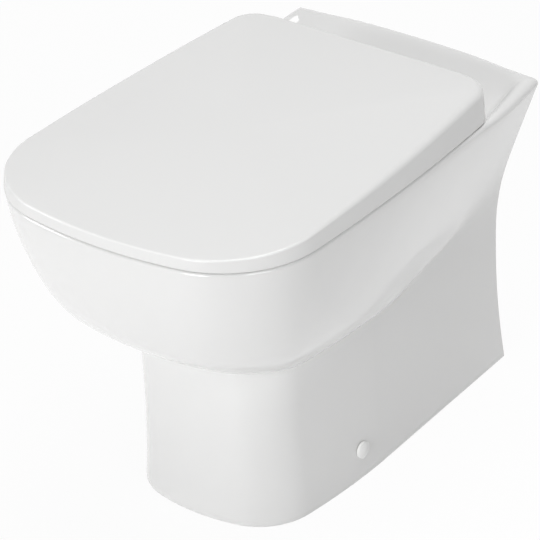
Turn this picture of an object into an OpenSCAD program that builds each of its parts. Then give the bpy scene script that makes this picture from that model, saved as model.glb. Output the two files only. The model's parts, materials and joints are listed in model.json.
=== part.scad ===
// Back to wall toilet: ceramic pan, wrap-over soft-close seat and fixings.
// Millimetres, +Z up, front towards -Y. The floor is z = 0 and the wall is y = projection / 2.
// The modules draw with y = 0 at the wall, and place() moves them into the part's frame.

/* [Overall] */
// From the wall to the front of the lid
projection = 546; // [500:1:600]
// Widest point of the lid
lid_width = 361; // [340:1:380]
// Height of the ceramic rim at the front
rim_front_z = 388; // [370:1:420]
// Fall of the rim towards the wall, millimetres per millimetre
rim_fall = 0.0588; // [0:0.001:0.07]

/* [Lid] */
// From the hinge axis back to the lid's back edge
lid_overhang = 17; // [15:0.5:18]
// Radius of the lid's front edge
lid_front_radius = 473; // [350:1:700]
// Half angle of the front edge
lid_front_angle = 11.3; // [8:0.1:14]
// Radius of the lid's back corners
lid_back_corner_radius = 33; // [25:1:45]
// Radius of the lid's gently curved sides
lid_side_radius = 2590; // [2000:10:4000]
// Height of the crease round the lid's top above the seat
lid_headroom = 5; // [4.5:0.5:10]
// Rise of the crowned top above the crease
lid_crown = 7; // [3:0.5:9]
// Lean of the lid's skirt, bottom edge to crease
lid_skirt_lean = 1.3; // [0.5:0.1:3]
// Radius of the crease at the front
lid_edge_radius = 2.5; // [2:0.5:4]
// Radius of the crease along the sides and the back
lid_side_edge_radius = 8; // [4:0.5:8]
// Wall thickness of the lid
lid_wall = 4; // [3.5:0.5:5]
// Shadow gap between the lid and the ceramic
lid_gap = 1.6; // [1:0.1:2.5]

/* [Seat] */
// Rise of the seat's top above the rim's front
seat_rise = 9; // [8:0.5:14]
// Gap between the seat and the inside of the lid's skirt
seat_side_gap = 5; // [3:0.5:6]
// Gap between the seat and the rim, filled by the buffers
seat_gap = 2.6; // [2:0.1:4]
// Gap between the seat's back edge and the pillars
seat_pillar_gap = 3; // [2:0.5:8]
// Half width of the seat opening
seat_hole_half_width = 108; // [100:1:115]
// From the lid's front to the seat opening
seat_front_width = 60; // [56:1:75]
// How far the seat covers the back of the bowl's mouth
seat_back_cover = 26; // [18:1:32]
// Diameter of the buffers
buffer_d = 16; // [12:1:20]

/* [Pan] */
// How far the ceramic stands back from the lid's edge
pan_inset = 1.2; // [0.5:0.1:3]
// How far the foot's front stands back from the lid's front
foot_setback = 123.5; // [96:0.5:146]
// Radius of the foot's front
foot_front_radius = 220; // [180:1:260]
// Radius of the foot's front corners
foot_corner_radius = 67.6; // [55:0.1:80]
// Half width of the foot at the wall
foot_half_width = 104.5; // [98:0.5:112]
// Height of the chin's crease at the front
crease_front_z = 220; // [200:1:230]
// Height of the crease halfway back
crease_middle_z = 150; // [140:1:170]
// Height of the crease at the wall
crease_back_z = 140; // [130:1:150]
// Draw-in of the pedestal's waist at the front
waist_front = 4.7; // [2:0.1:8]
// Draw-in of the waist at the wall
waist_back = 8.4; // [4:0.1:12]
// Height over which the waist draws in
waist_z = 116; // [100:1:130]
// Wall thickness of the ceramic
pan_wall = 11; // [10:0.5:12]
// Thickness of the rim and the ledge
ledge_wall = 14; // [12:0.5:16]
// Radius of the rim's outer edge under the lid
rim_radius = 4; // [3:0.5:6]
// Radius of the rim's outer edge where its sides near the wall
rim_end_radius = 8.5; // [4:0.5:10]
// Rounding of the foot's edge on the floor
foot_edge_radius = 2.5; // [1:0.5:4]

/* [Ledge] */
// Depth of the ledge's floor below the rim's front
ledge_drop = 34; // [32:0.5:38]
// Depth of the ledge's back edge at the middle, below the rim's front
ledge_back_drop = 17; // [10:0.5:22]
// Depth of the ledge's back edge at its ends, below the rim's front
ledge_end_drop = 21.5; // [16:0.5:26]
// From the hinge axis forward to where the ledge's floor starts
ledge_reach = 46; // [40:1:52]
// From the hinge axis back to where the ledge starts to rise
ledge_flat = 26; // [22:1:40]

/* [Bowl] */
// Half width of the bowl's mouth
bowl_half_width = 128; // [120:1:132]
// From the lid's front to the bowl's mouth
rim_width = 41; // [38:1:50]
// Back of the bowl's mouth, from the wall
bowl_back = 190; // [185:1:195]

/* [Trap and pipes] */
// Radius of the trap's passage
trap_r = 26; // [24:0.5:28]
// Wall of the trap's passage
trap_wall = 9; // [8:0.5:10]
// Height of the dip's centre line
dip_z = 78; // [76:1:82]
// Bend radius of the trap's centre line
trap_bend = 44; // [42:1:50]
// Angle of the trap's rising leg
trap_angle = 65; // [60:1:70]
// From the middle of the sump back to where the dip starts to bend
dip_run = 12; // [8:1:30]
// Height of the outlet's centre line
outlet_z = 180; // [175:1:185]
// Outside diameter of the outlet spigot
spigot_d = 102; // [100:1:104]
// Inside diameter of the outlet spigot
spigot_bore = 84; // [80:1:88]
// Length of the spigot
spigot_length = 50; // [45:1:60]
// From the wall to the spigot's end
spigot_setback = 25; // [15:1:40]
// Depth of the flush inlet's centre line below the rim's front
inlet_drop = 88; // [86:1:96]
// Diameter of the flush inlet's socket
inlet_d = 55; // [54:0.5:56]
// Depth of the flush inlet's socket
inlet_depth = 34; // [30:1:40]
// Diameter of the flush channel behind the socket
channel_d = 40; // [36:1:42]
// Outside diameter of the flush pipe that the seal takes
flush_pipe_d = 44; // [40:0.5:45]

/* [Hinge] */
// Distance between the seat's fixing holes
hinge_spacing = 155; // [150:1:160]
// Hinge axis, from the wall
hinge_back = 102; // [95:0.5:112]
// Height of the hinge axis above the ledge's floor
hinge_rise = 30; // [28:0.5:31]
// Diameter of the hinge pins
pin_d = 8; // [6:0.5:9]
// Radius of the pillars and knuckles round the axis
knuckle_r = 10; // [9:0.25:10.5]
// Width of a pillar
pillar_width = 18; // [16:0.5:20]
// Depth of a pillar in front of the axis
pillar_front = 23; // [21:0.5:24]
// Diameter of the damper bodies
damper_d = 15; // [13:0.5:15.5]
// Length of the damper bodies
damper_length = 42; // [36:1:46]
// Width of an outer knuckle
outer_knuckle_width = 20; // [16:1:24]
// Diameter of the release buttons
button_d = 9; // [8:0.5:10]
// Travel of the release buttons
button_travel = 2.5; // [2:0.1:3]
// Diameter of the stud's peg head
peg_d = 12; // [10:0.5:13]
// Height of the peg head above its plate
peg_height = 13; // [11:0.5:14]
// Diameter of the round plates under the pillars
plate_d = 40; // [36:1:44]
// Thickness of the round plates
plate_thickness = 4.5; // [3:0.5:6]
// Diameter of the fixing studs
stud_d = 6; // [5:0.5:8]
// Diameter of the ledge's fixing holes
fixing_hole_d = 16; // [14:0.5:18]

/* [Floor fixing] */
// Diameter of the push-on caps
cap_d = 19; // [17:0.5:22]
// How far the caps stand out from their cups
cap_height = 5.5; // [5.5:0.5:8]
// Height of the side screws
side_screw_z = 34; // [30:1:40]
// Side screws, from the wall
side_screw_back = 272; // [265:1:280]
// Diameter of the side screws
side_screw_d = 6; // [5:0.5:7]
// Diameter of the pedestal's side holes
side_hole_d = 9; // [8:0.5:10]
// Thickness of the floor brackets
bracket_wall = 6; // [4:0.5:8]
// Width of the floor brackets
bracket_width = 46; // [40:1:60]
// Diameter of the brackets' floor holes
bracket_hole_d = 8.5; // [7:0.5:10]

/* [Fit] */
// Radial clearance of a pin in its bore
pin_clearance = 0.08; // [0.05:0.01:0.1]
// Clearance between pieces that move past each other
running_gap = 0.5; // [0.3:0.1:1]
// Clearance between pieces that rest on each other
seat_clearance = 0.3; // [0.2:0.05:0.4]
// Gap between a soft buffer and the flat face under it
contact_gap = 0.1; // [0.05:0.05:0.2]

/* [Hidden] */

$fn = 48;

// Places and heights that follow from the sizes above
lid_front = -projection;
hinge_y = -hinge_back;
lid_back = hinge_y + lid_overhang;
foot_length = projection - foot_setback;
bowl_front = projection - rim_width;
seat_top_z = rim_front_z + seat_rise;
lid_crease_z = seat_top_z + lid_headroom;
seat_back = hinge_back + pillar_front + seat_pillar_gap;
seat_hole_front = projection - seat_front_width;
seat_hole_back = bowl_back + seat_back_cover;
ledge_floor_z = rim_front_z - ledge_drop;
ledge_back_z = rim_front_z - ledge_back_drop;
ledge_end_z = rim_front_z - ledge_end_drop;
ledge_front = hinge_back + ledge_reach;
ledge_rise = hinge_back - ledge_flat;
hinge_z = ledge_floor_z + hinge_rise;
inlet_z = rim_front_z - inlet_drop;

module place() translate([0, projection / 2, 0]) children();

// ---- Curves ---------------------------------------------------------------------------

function mix(a, b, t) = a + (b - a) * t;
function clamp01(t) = min(max(t, 0), 1);
function smooth(t) = let (c = clamp01(t)) c * c * (3 - 2 * c);
function bend3(first, middle, last, t) =
    first * (1 - t) ^ 2 + last * t ^ 2 + (4 * middle - first - last) * t * (1 - t);
function power(v, n) = sign(v) * abs(v) ^ n;

// Arcs walked from a point with a heading; each arc is [radius, turn, steps]
function walk(arcs, x, y, heading, i = 0) =
    i == len(arcs) ? [] :
    let (r = arcs[i][0], turn = arcs[i][1], steps = arcs[i][2],
        cx = x - r * sin(heading), cy = y + r * cos(heading), last = heading + turn)
    concat([for (k = [1:steps]) let (a = heading + turn * k / steps)
            [cx + r * sin(a), cy - r * cos(a), a]],
        walk(arcs, cx + r * sin(last), cy - r * cos(last), last, i + 1));

function last(list) = list[len(list) - 1];

// A closed ring from the right half's points and the points along the back. The third value is a
// height, or a heading that the left half turns round.
function ring(half, back, turned = 1) = concat(half, back,
    [for (i = [len(half) - 1:-1:1]) [-half[i][0], half[i][1], turned * half[i][2]]]);
function across_back(p, count) = [for (k = [1:count - 1]) [p[0] * (1 - 2 * k / count), p[1], p[2]]];

// A point of an outline moved inwards by d, square to its heading, and kept wall off the wall
function inset_point(p, d, wall = 0) = [p[0] - d * sin(p[2]), min(p[1] + d * cos(p[2]), -wall), p[2]];

// Faces between rings, and the fans that close the first and the last ring
function skin_faces(rings, n) = [for (k = [0:rings - 2], i = [0:n - 1])
    let (j = (i + 1) % n, a = k * n + i, b = k * n + j, c = a + n, d = b + n)
    each [[a, b, d], [a, d, c]]];

module closed_skin(rings, first_pole, last_pole) {
    n = len(rings[0]);
    points = concat([for (r = rings, p = r) p], [first_pole, last_pole]);
    count = len(rings) * n;
    faces = concat(skin_faces(len(rings), n),
        [for (i = [0:n - 1]) [count, (i + 1) % n, i]],
        [for (i = [0:n - 1]) let (base = count - n) [count + 1, base + i, base + (i + 1) % n]]);
    polyhedron(points, faces, convexity = 10);
}

module closed_loop_skin(rings) {
    n = len(rings[0]);
    looped = concat(rings, [rings[0]]);
    count = len(rings) * n;
    faces = [for (f = skin_faces(len(looped), n)) [f[0] % count, f[2] % count, f[1] % count]];
    polyhedron([for (r = rings, p = r) p], faces, convexity = 10);
}

// ---- Heights --------------------------------------------------------------------------

function rim_z(y) = rim_front_z - rim_fall * (y - lid_front);
function lid_bottom_z(y) = rim_z(y) + lid_gap;

// ---- Lid ------------------------------------------------------------------------------

lid_half = lid_width / 2;
lid_corner_radius = (lid_half - lid_front_radius * sin(lid_front_angle)) / (1 - sin(lid_front_angle));
lid_side_start = lid_front + lid_front_radius * (1 - cos(lid_front_angle))
    + lid_corner_radius * cos(lid_front_angle);
lid_back_points = 6;

// Right half of the lid's outline pulled in by inset. Its back edge is at back, and its back
// corners have the given radius.
function outline(inset, back, back_radius) =
    let (side_angle = asin((back - back_radius - lid_side_start) / (lid_side_radius - back_radius)))
    concat([[0, lid_front + inset, 0]],
        walk([[lid_front_radius - inset, lid_front_angle, 3],
            [lid_corner_radius - inset, 90 - lid_front_angle, 9],
            [lid_side_radius - inset, side_angle, 6],
            [back_radius - inset, 90 - side_angle, 5]], 0, lid_front + inset, 0));
function outline_ring(half) = let (corner = last(half))
    ring(half, across_back([corner[0], corner[1], 180], lid_back_points), -1);
lid_outline = outline_ring(outline(0, lid_back, lid_back_corner_radius));
function lid_ring(inset) = [for (p = lid_outline) inset_point(p, inset)];
function at_z(points, z) = [for (p = points) [p[0], p[1], z]];

// The crease is crisp at the front and softens along the sides and the back
crease_change_start = 60;
crease_change_length = 260;
function edge_radius(p) = min(lid_crease_z - skirt_z(p) - 1, mix(lid_edge_radius, lid_side_edge_radius,
    smooth((p[1] - lid_front - crease_change_start) / crease_change_length)));
function crease_ring(turn) = [for (p = lid_outline)
    let (r = edge_radius(p), q = inset_point(p, lid_skirt_lean + r * (1 - cos(turn))))
    [q[0], q[1], lid_crease_z - r * (1 - sin(turn))]];

// Rings shrunk towards the lid's middle, for its crown
lid_middle = (lid_front + lid_back) / 2;
crown_steps = [0.08, 0.2, 0.38, 0.6, 0.82];
function shrink(points, t) = [for (p = points) [p[0] * (1 - t), mix(p[1], lid_middle, t)]];
function crown_z(t) = lid_crease_z + lid_crown * (1 - (1 - t) ^ 2);

// Behind the hinge axis the skirt's edge is round about the axis, so that it never comes nearer
// to the ledge than it lies at rest. Between the corners it stops above the pillars.
skirt_radius = hinge_z - lid_bottom_z(hinge_y);
skirt_back_z = hinge_z + knuckle_r + 1;
notch_half = hinge_spacing / 2 + pillar_width / 2 + outer_knuckle_width + 14;
notch_side_fade = 10;
notch_depth_fade = 8;
function skirt_z(p) = let (
        behind = max(p[1] - hinge_y, 0),
        swing = hinge_z - sqrt(skirt_radius ^ 2 - min(behind, skirt_radius * 0.8) ^ 2),
        low = behind > 0 ? swing : lid_bottom_z(p[1]),
        side = smooth((notch_half + notch_side_fade - abs(p[0])) / notch_side_fade))
    mix(low, skirt_back_z, side * smooth(behind / notch_depth_fade));

lid_inner_fillet = 2;
module lid_shell() {
    inner = lid_skirt_lean + lid_wall;
    outside = concat(
        [[for (p = lid_ring(0)) [p[0], p[1], skirt_z(p)]]],
        [for (turn = [0, 22.5, 45, 67.5, 90]) crease_ring(turn)],
        [for (t = crown_steps) at_z(shrink(crease_ring(90), t), crown_z(t))]);
    inside = concat(
        [[for (p = lid_ring(lid_wall)) [p[0], p[1], skirt_z(p)]]],
        [at_z(lid_ring(inner), lid_crease_z - lid_wall - lid_inner_fillet)],
        [at_z(lid_ring(inner + lid_inner_fillet), lid_crease_z - lid_wall)],
        [for (t = crown_steps)
            at_z(shrink(lid_ring(inner + lid_inner_fillet), t), crown_z(t) - lid_wall)]);
    // From the top's middle down the outside, round the bottom edge and up the inside
    n = len(outside);
    closed_skin(concat([for (k = [n - 1:-1:0]) outside[k]], inside),
        [0, lid_middle, crown_z(1)], [0, lid_middle, crown_z(1) - lid_wall]);
}

// ---- Hinge places ---------------------------------------------------------------------

pillar_x = hinge_spacing / 2;
pillar_inner = pillar_x - pillar_width / 2;
pillar_outer = pillar_x + pillar_width / 2;
barrel_wall = 2.9;
barrel_cap = 4;
barrel_r = damper_d / 2 + pin_clearance + barrel_wall;
barrel_end = pillar_inner - running_gap;
barrel_start = barrel_end - damper_length - barrel_cap;
outer_start = pillar_outer + running_gap;
outer_end = outer_start + outer_knuckle_width;
outer_cap = 3;
pin_gap = 1;
bore_r = pin_d / 2 + pin_clearance;

// A cylinder along X on the hinge axis
module on_axis(x0, x1, r) translate([x0, hinge_y, hinge_z]) rotate([0, 90, 0])
    cylinder(r = r, h = x1 - x0);

// The inner knuckle holds a damper and the outer one turns on a pin. Side 1 is the right.
module inner_bores(side) mirror([side < 0 ? 1 : 0, 0, 0]) {
    on_axis(barrel_end - damper_length - 1, barrel_end + 1, damper_d / 2 + pin_clearance);
}
module outer_bores(side) mirror([side < 0 ? 1 : 0, 0, 0])
    on_axis(outer_start - 1, outer_end - outer_cap, bore_r);

module lid() place() color("white") difference() {
    union() {
        lid_shell();
        // Ear on the right, and barrel with its web on the left
        on_axis(outer_start, outer_end, knuckle_r);
        translate([outer_start, hinge_y - knuckle_r, hinge_z])
            cube([outer_knuckle_width, 2 * knuckle_r, lid_crease_z - hinge_z - lid_wall / 2]);
        mirror([1, 0, 0]) on_axis(barrel_start, barrel_end, barrel_r);
        translate([-barrel_end, hinge_y - knuckle_r, hinge_z])
            cube([barrel_end - barrel_start, 2 * knuckle_r, lid_crease_z - hinge_z - lid_wall / 2]);
    }
    inner_bores(-1);
    outer_bores(1);
}

// ---- Seat -----------------------------------------------------------------------------

seat_inset = lid_skirt_lean + lid_wall + seat_side_gap;
seat_corner_radius = 30;
seat_wall = 6;
seat_edge_radius = 3;
seat_lip_radius = 5;
function seat_bottom_z(y) = rim_z(y) + seat_gap;
function seat_roof_z(y) = max(seat_top_z - seat_wall, seat_bottom_z(y) + 0.4);
function seat_outer(inset) = outline_ring(outline(seat_inset + inset, -seat_back + seat_inset,
    seat_corner_radius + seat_inset));
seat_squareness = 2.3;
function seat_inner(inset) = oval(seat_hole_front - inset, seat_hole_back + inset,
    seat_hole_half_width - inset, 0, seat_squareness, len(seat_outer(0)));
function seat_low(points) = [for (p = points) [p[0], p[1], seat_bottom_z(p[1])]];
function seat_roof(points) = [for (p = points) [p[0], p[1], seat_roof_z(p[1])]];

// A closed oval of count points, from its front on round the right side
function oval(front, back, half_width, z, n, count) = [for (i = [0:count - 1])
    let (a = -90 + 360 * i / count, middle = (front + back) / 2, half_length = (front - back) / 2)
    [half_width * power(cos(a), 2 / n), -middle + half_length * power(sin(a), 2 / n), z]];

module seat_ring() {
    er = seat_edge_radius;
    lr = seat_lip_radius;
    closed_loop_skin(concat(
        [seat_low(seat_outer(0))],
        [for (turn = [0, 45, 90])
            at_z(seat_outer(er * (1 - cos(turn))), seat_top_z - er + er * sin(turn))],
        [at_z(seat_inner(-lr), seat_top_z)],
        [for (turn = [45, 80])
            at_z(seat_inner(-lr + lr * sin(turn)), seat_top_z - lr + lr * cos(turn))],
        [seat_low(seat_inner(-lr / 3)), seat_low(seat_inner(-lr / 3 - seat_wall)),
            seat_roof(seat_inner(-lr / 3 - seat_wall)), seat_roof(seat_outer(seat_wall)),
            seat_low(seat_outer(seat_wall))]));
}

// Ribs across the hollow under the ring's sides
seat_rib = 3;
seat_rib_gap = 2;
seat_rib_sink = 1.5;
seat_rib_places = [0.34, 0.44, 0.53, 0.61];
hole_middle = (seat_hole_front + seat_hole_back) / 2;
hole_half_length = (seat_hole_front - seat_hole_back) / 2;
function seat_hole_x(y) = seat_hole_half_width
    * (1 - abs((y + hole_middle) / hole_half_length) ^ seat_squareness) ^ (1 / seat_squareness);
module seat_ribs() for (side = [0, 1], share = seat_rib_places) mirror([side, 0, 0]) {
    y = mix(lid_front, lid_back, share);
    start = seat_hole_x(y) + seat_lip_radius / 3 + seat_wall - seat_rib_sink;
    end = lid_half - seat_inset - seat_wall + seat_rib_sink;
    low = seat_bottom_z(y) + seat_rib_gap;
    translate([start, y - seat_rib / 2, low])
        cube([end - start, seat_rib, seat_top_z - seat_wall + seat_rib_sink - low]);
}

seat_arm_low = hinge_z - 6;
seat_arm_top = seat_top_z - 4;
module seat() place() color("white") difference() {
    union() {
        seat_ring();
        seat_ribs();
        on_axis(barrel_start, barrel_end, barrel_r);
        translate([barrel_start, -seat_back - seat_wall / 2, seat_arm_low])
            cube([barrel_end - barrel_start, seat_back - hinge_back + seat_wall / 2,
                seat_arm_top - seat_arm_low]);
        mirror([1, 0, 0]) on_axis(outer_start, outer_end, knuckle_r);
        translate([-outer_end, -seat_back - seat_wall / 2, seat_arm_low])
            cube([outer_knuckle_width, seat_back - hinge_back + seat_wall / 2,
                seat_arm_top - seat_arm_low]);
    }
    inner_bores(1);
    outer_bores(-1);
}

buffer_out = 2;
buffer_x = (seat_hole_half_width + lid_half - seat_inset) / 2 + buffer_out;
lid_buffer_share = 1 - (buffer_x + buffer_d / 2)
    / (lid_half - lid_skirt_lean - lid_wall - lid_inner_fillet);
lid_buffer_top = crown_z(lid_buffer_share) - lid_wall - seat_clearance;
module lid_buffers() place() color("gainsboro") for (side = [-1, 1])
    translate([side * buffer_x, lid_middle, seat_top_z + contact_gap])
        cylinder(d = buffer_d, h = lid_buffer_top - seat_top_z - contact_gap);

seat_buffer_places = [0.294, 0.684];
seat_buffer_y = [for (share = seat_buffer_places) mix(lid_front, lid_back, share)];
function seat_buffer_low(y) = rim_z(y - buffer_d / 2) + seat_clearance;
module seat_buffers() place() color("gainsboro") for (side = [-1, 1], y = seat_buffer_y)
    translate([side * buffer_x, y, seat_buffer_low(y)])
        cylinder(d = buffer_d, h = seat_roof_z(y) - seat_buffer_low(y));

// ---- Hinge set ------------------------------------------------------------------------

pillar_base_z = ledge_floor_z + plate_thickness + seat_clearance;
pillar_back = 4;
button_reach = 15;
button_y = hinge_y - button_reach;
button_top_z = hinge_z + 7;
shoulder_z = hinge_z + 5;
button_length = 15;
spring_floor_z = pillar_base_z + 3;

module hinge_pillar(side) place() color("silver") mirror([side < 0 ? 1 : 0, 0, 0]) difference() {
    translate([pillar_inner, hinge_y, 0]) rotate([90, 0, 90]) linear_extrude(pillar_width) hull() {
        translate([0, hinge_z]) circle(r = knuckle_r);
        translate([-pillar_front, pillar_base_z])
            square([pillar_front + pillar_back, shoulder_z - pillar_base_z - 12]);
        translate([-pillar_front + 3, shoulder_z - 3]) circle(r = 3);
    }
    on_axis(pillar_inner - 1, pillar_outer + 1, bore_r);
    translate([pillar_x, hinge_y, pillar_base_z - 1])
        cylinder(d = peg_d + 2 * pin_clearance, h = peg_height + 1 + seat_clearance);
    translate([pillar_x, button_y, spring_floor_z])
        cylinder(d = button_d + 2 * pin_clearance, h = 60);
}

module pivot_pin(side) place() color("lightgray") mirror([side < 0 ? 1 : 0, 0, 0])
    on_axis(pillar_x + pin_gap / 2, outer_end - outer_cap - running_gap, pin_d / 2);

damper_start = barrel_end - damper_length;
shaft_depth = 14;
module damper(side) place() color("dimgray") mirror([side < 0 ? 1 : 0, 0, 0]) difference() {
    on_axis(damper_start, barrel_end - 1, damper_d / 2);
    on_axis(barrel_end - shaft_depth, barrel_end, bore_r);
}
module damper_shaft(side) place() color("lightgray") mirror([side < 0 ? 1 : 0, 0, 0])
    on_axis(barrel_end - shaft_depth + running_gap, pillar_x - pin_gap / 2, pin_d / 2);

module release_button(side) place() color("lightgray") mirror([side < 0 ? 1 : 0, 0, 0])
    translate([pillar_x, button_y, button_top_z - button_length]) {
        cylinder(d = button_d, h = button_length - 1);
        translate([0, 0, button_length - 1]) cylinder(d1 = button_d, d2 = button_d - 2, h = 1);
    }

spring_turns = 5;
spring_wire = 0.8;
spring_r = button_d / 2 - 1;
spring_rings = 8;
spring_sides = 6;
spring_low = spring_floor_z + spring_wire / 2;
spring_high = button_top_z - button_length - spring_wire / 2;
function spring_point(k, j) = let (turn = 360 * k / spring_rings, a = 360 * j / spring_sides,
        r = spring_r + spring_wire / 2 * cos(a),
        z = mix(spring_low, spring_high, k / (spring_turns * spring_rings)))
    [r * cos(turn), r * sin(turn), z + spring_wire / 2 * sin(a)];
module button_spring(side) place() color("silver") mirror([side < 0 ? 1 : 0, 0, 0])
    translate([pillar_x, button_y, 0]) {
        steps = spring_turns * spring_rings;
        points = [for (k = [0:steps], j = [0:spring_sides - 1]) spring_point(k, j)];
        polyhedron(points, concat(skin_faces(steps + 1, spring_sides),
            [[for (j = [0:spring_sides - 1]) j]],
            [[for (j = [spring_sides - 1:-1:0]) steps * spring_sides + j]]), convexity = 8);
    }

// ---- Fixings in the ledge -------------------------------------------------------------

module at_holes() for (side = [-1, 1]) translate([side * pillar_x, hinge_y, 0]) children();

ledge_under_z = ledge_floor_z - ledge_wall;
stud_end = 14;
bush_flange = 3;
washer_thickness = 2;
nut_height = stud_d * 0.8;
nut_across = stud_d * 1.625;
washer_top = ledge_under_z - bush_flange - seat_clearance;
stud_low_z = washer_top - washer_thickness - nut_height - stud_end;

module hinge_plate(side) place() color("lightgray")
    translate([side * pillar_x, hinge_y, ledge_floor_z]) difference() {
        union() {
            cylinder(d = plate_d, h = plate_thickness - 1);
            translate([0, 0, plate_thickness - 1]) cylinder(d1 = plate_d, d2 = plate_d - 2, h = 1);
        }
        translate([0, 0, -1]) cylinder(d = stud_d + 2 * pin_clearance, h = plate_thickness + 2);
    }

module fixing_studs() place() color("silver") at_holes() {
    translate([0, 0, stud_low_z]) cylinder(d = stud_d, h = pillar_base_z - stud_low_z);
    translate([0, 0, ledge_floor_z + plate_thickness]) cylinder(d = peg_d, h = peg_height - 1);
    translate([0, 0, ledge_floor_z + plate_thickness + peg_height - 1])
        cylinder(d1 = peg_d, d2 = peg_d - 2, h = 1);
}

module stud_bushes() place() color("dimgray") at_holes() difference() {
    union() {
        translate([0, 0, ledge_under_z]) cylinder(d = fixing_hole_d - 0.2, h = ledge_wall);
        translate([0, 0, ledge_under_z - bush_flange - seat_clearance])
            cylinder(d = fixing_hole_d + 10, h = bush_flange);
        translate([0, 0, ledge_under_z - bush_flange])
            cylinder(d = fixing_hole_d - 0.2, h = bush_flange + 1);
    }
    translate([0, 0, ledge_under_z - 2 * bush_flange])
        cylinder(d = stud_d + 2 * pin_clearance, h = ledge_wall + 3 * bush_flange);
}

module stud_washers() place() color("silver") at_holes() translate([0, 0, washer_top - washer_thickness])
    difference() {
        cylinder(d = fixing_hole_d + 12, h = washer_thickness);
        translate([0, 0, -1]) cylinder(d = stud_d + 2 * pin_clearance, h = washer_thickness + 2);
    }

module stud_nuts() place() color("silver") at_holes()
    translate([0, 0, washer_top - washer_thickness - nut_height]) difference() {
        cylinder(d = nut_across / cos(30), h = nut_height, $fn = 6);
        translate([0, 0, -1]) cylinder(d = stud_d + 2 * pin_clearance, h = nut_height + 2);
    }

// ---- Pan ------------------------------------------------------------------------------

corner_points = 12;
side_points = 9;
back_points = 8;
foot_front_angle = 13.4;
foot_corner_angle = 68.3;
foot_side_radius = 807;

// Half width of the ceramic's rim along its side: an arc, then straight to the wall
rim_side_x = lid_half - pan_inset;
rim_side_turn = 4.2;
rim_side_end = lid_side_start + lid_side_radius * sin(rim_side_turn);
function rim_half_width(y) = y < rim_side_end
    ? rim_side_x - lid_side_radius + sqrt(lid_side_radius ^ 2 - (y - lid_side_start) ^ 2)
    : rim_side_x - lid_side_radius * (1 - cos(rim_side_turn))
        - (y - rim_side_end) * tan(rim_side_turn);
function rim_heading(y) = 90 + min(asin((y - lid_side_start) / lid_side_radius), rim_side_turn);
rim_half = concat(
    [[0, lid_front + pan_inset, 0]],
    walk([[lid_front_radius - pan_inset, lid_front_angle, 3],
        [lid_corner_radius - pan_inset, 90 - lid_front_angle, corner_points - 3]],
        0, lid_front + pan_inset, 0),
    [for (k = [1:side_points]) let (y = lid_side_start * (1 - k / side_points))
        [rim_half_width(y), y, rim_heading(y)]]);

foot_arcs = walk([[foot_front_radius, foot_front_angle, 3],
    [foot_corner_radius, foot_corner_angle, corner_points - 5],
    [foot_side_radius, 90 - foot_front_angle - foot_corner_angle, 2]], 0, -foot_length, 0);
foot_corner = last(foot_arcs);
foot_half = concat([[0, -foot_length, 0]], foot_arcs,
    [for (k = [1:side_points]) let (t = k / side_points)
        [mix(foot_corner[0], foot_half_width, t), foot_corner[1] * (1 - t), 90]]);

function along(i) = 1 - rim_half[i][1] / rim_half[0][1];

// One point of the outer surface, or of the inner one where d is the wall. i counts along the
// half outline. Below the crease is the pedestal, drawn in at its waist. Above it the bowl's
// side sweeps out from the crease, at t = 0, to the rim, at t = 1.
sweep_front = 0.3;
sweep_middle = 1.61;
sweep_back = 2.08;
function crease_z(i) = bend3(crease_front_z, crease_middle_z, crease_back_z, along(i));
function waist(s) = mix(waist_front, waist_back, smooth(s / 0.6));
function draw_in(s, z) = waist(s) * (1 - (1 - clamp01(z / waist_z)) ^ 2);
function pedestal_point(i, z, d) = let (q = inset_point(foot_half[i], d + draw_in(along(i), z), d))
    [q[0], q[1], z];
function sweep(s, t) = (1 - (1 - t) ^ mix(1.4, 1.75, s)) ^ bend3(sweep_front, sweep_middle, sweep_back, s);
function bowl_point(i, t, d, top) = let (low = pedestal_point(i, crease_z(i), d),
        high = inset_point(rim_half[i], d, d), g = sweep(along(i), t))
    [mix(low[0], high[0], g), mix(low[1], high[1], g), mix(crease_z(i) + d, top, t)];

// The ceramic's edge follows the rim plane, and arches a little at the wall
function edge_z(x, y) = mix(rim_z(y),
    mix(ledge_back_z, ledge_end_z, clamp01(abs(x) / rim_half_width(0)) ^ 2),
    smooth((y - hinge_y) / hinge_back));

// The rim's rounding is small under the lid, and fuller along the sides as they near the wall
round_start = 130;
round_length = 110;
round_half = 60;
round_side = 70;
function rim_r(x, y) = mix(rim_radius, rim_end_radius,
    smooth((y + round_start) / round_length) * smooth((abs(x) - round_half) / round_side));

// Height of the ceramic's top: the rim plane, the ledge's floor and its rise to the wall
ledge_step = 14;
ledge_side = 12;
ledge_curve = 1.7;
function top_z(x, y) = let (edge = edge_z(x, y), r = rim_r(x, y),
        rise = clamp01((y + ledge_rise) / (ledge_rise - r)) ^ ledge_curve,
        depth = smooth((y + ledge_front + ledge_step) / ledge_step),
        side = smooth((rim_half_width(y) - r - abs(x)) / ledge_side))
    mix(edge, mix(ledge_floor_z, edge, rise), depth * side);

last_i = len(rim_half) - 1;
ring_count = 2 * last_i + back_points;
function wall_ring(half) = ring(half, across_back(half[last_i], back_points));
function foot_ring(z, d) = wall_ring([for (i = [0:last_i]) pedestal_point(i, z, d)]);
function pedestal_ring(level, d) = wall_ring(
    [for (i = [0:last_i]) pedestal_point(i, crease_z(i) * level, d)]);

// A ring of the bowl's side, t up from the crease. It ends drop under the edge, or where drop is
// left out, at the rim's rounding.
function under_edge(x, y, drop) = edge_z(x, y) - (is_undef(drop) ? rim_r(x, y) : drop);
function bowl_ring(t, d, drop = undef) = let (
        half = [for (i = [0:last_i]) let (q = inset_point(rim_half[i], d, d))
            bowl_point(i, t, d, under_edge(q[0], q[1], drop))],
        back = [for (p = across_back(half[last_i], back_points))
            [p[0], p[1], mix(crease_back_z + d, under_edge(p[0], 0, drop), t)]])
    ring(half, back);

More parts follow.
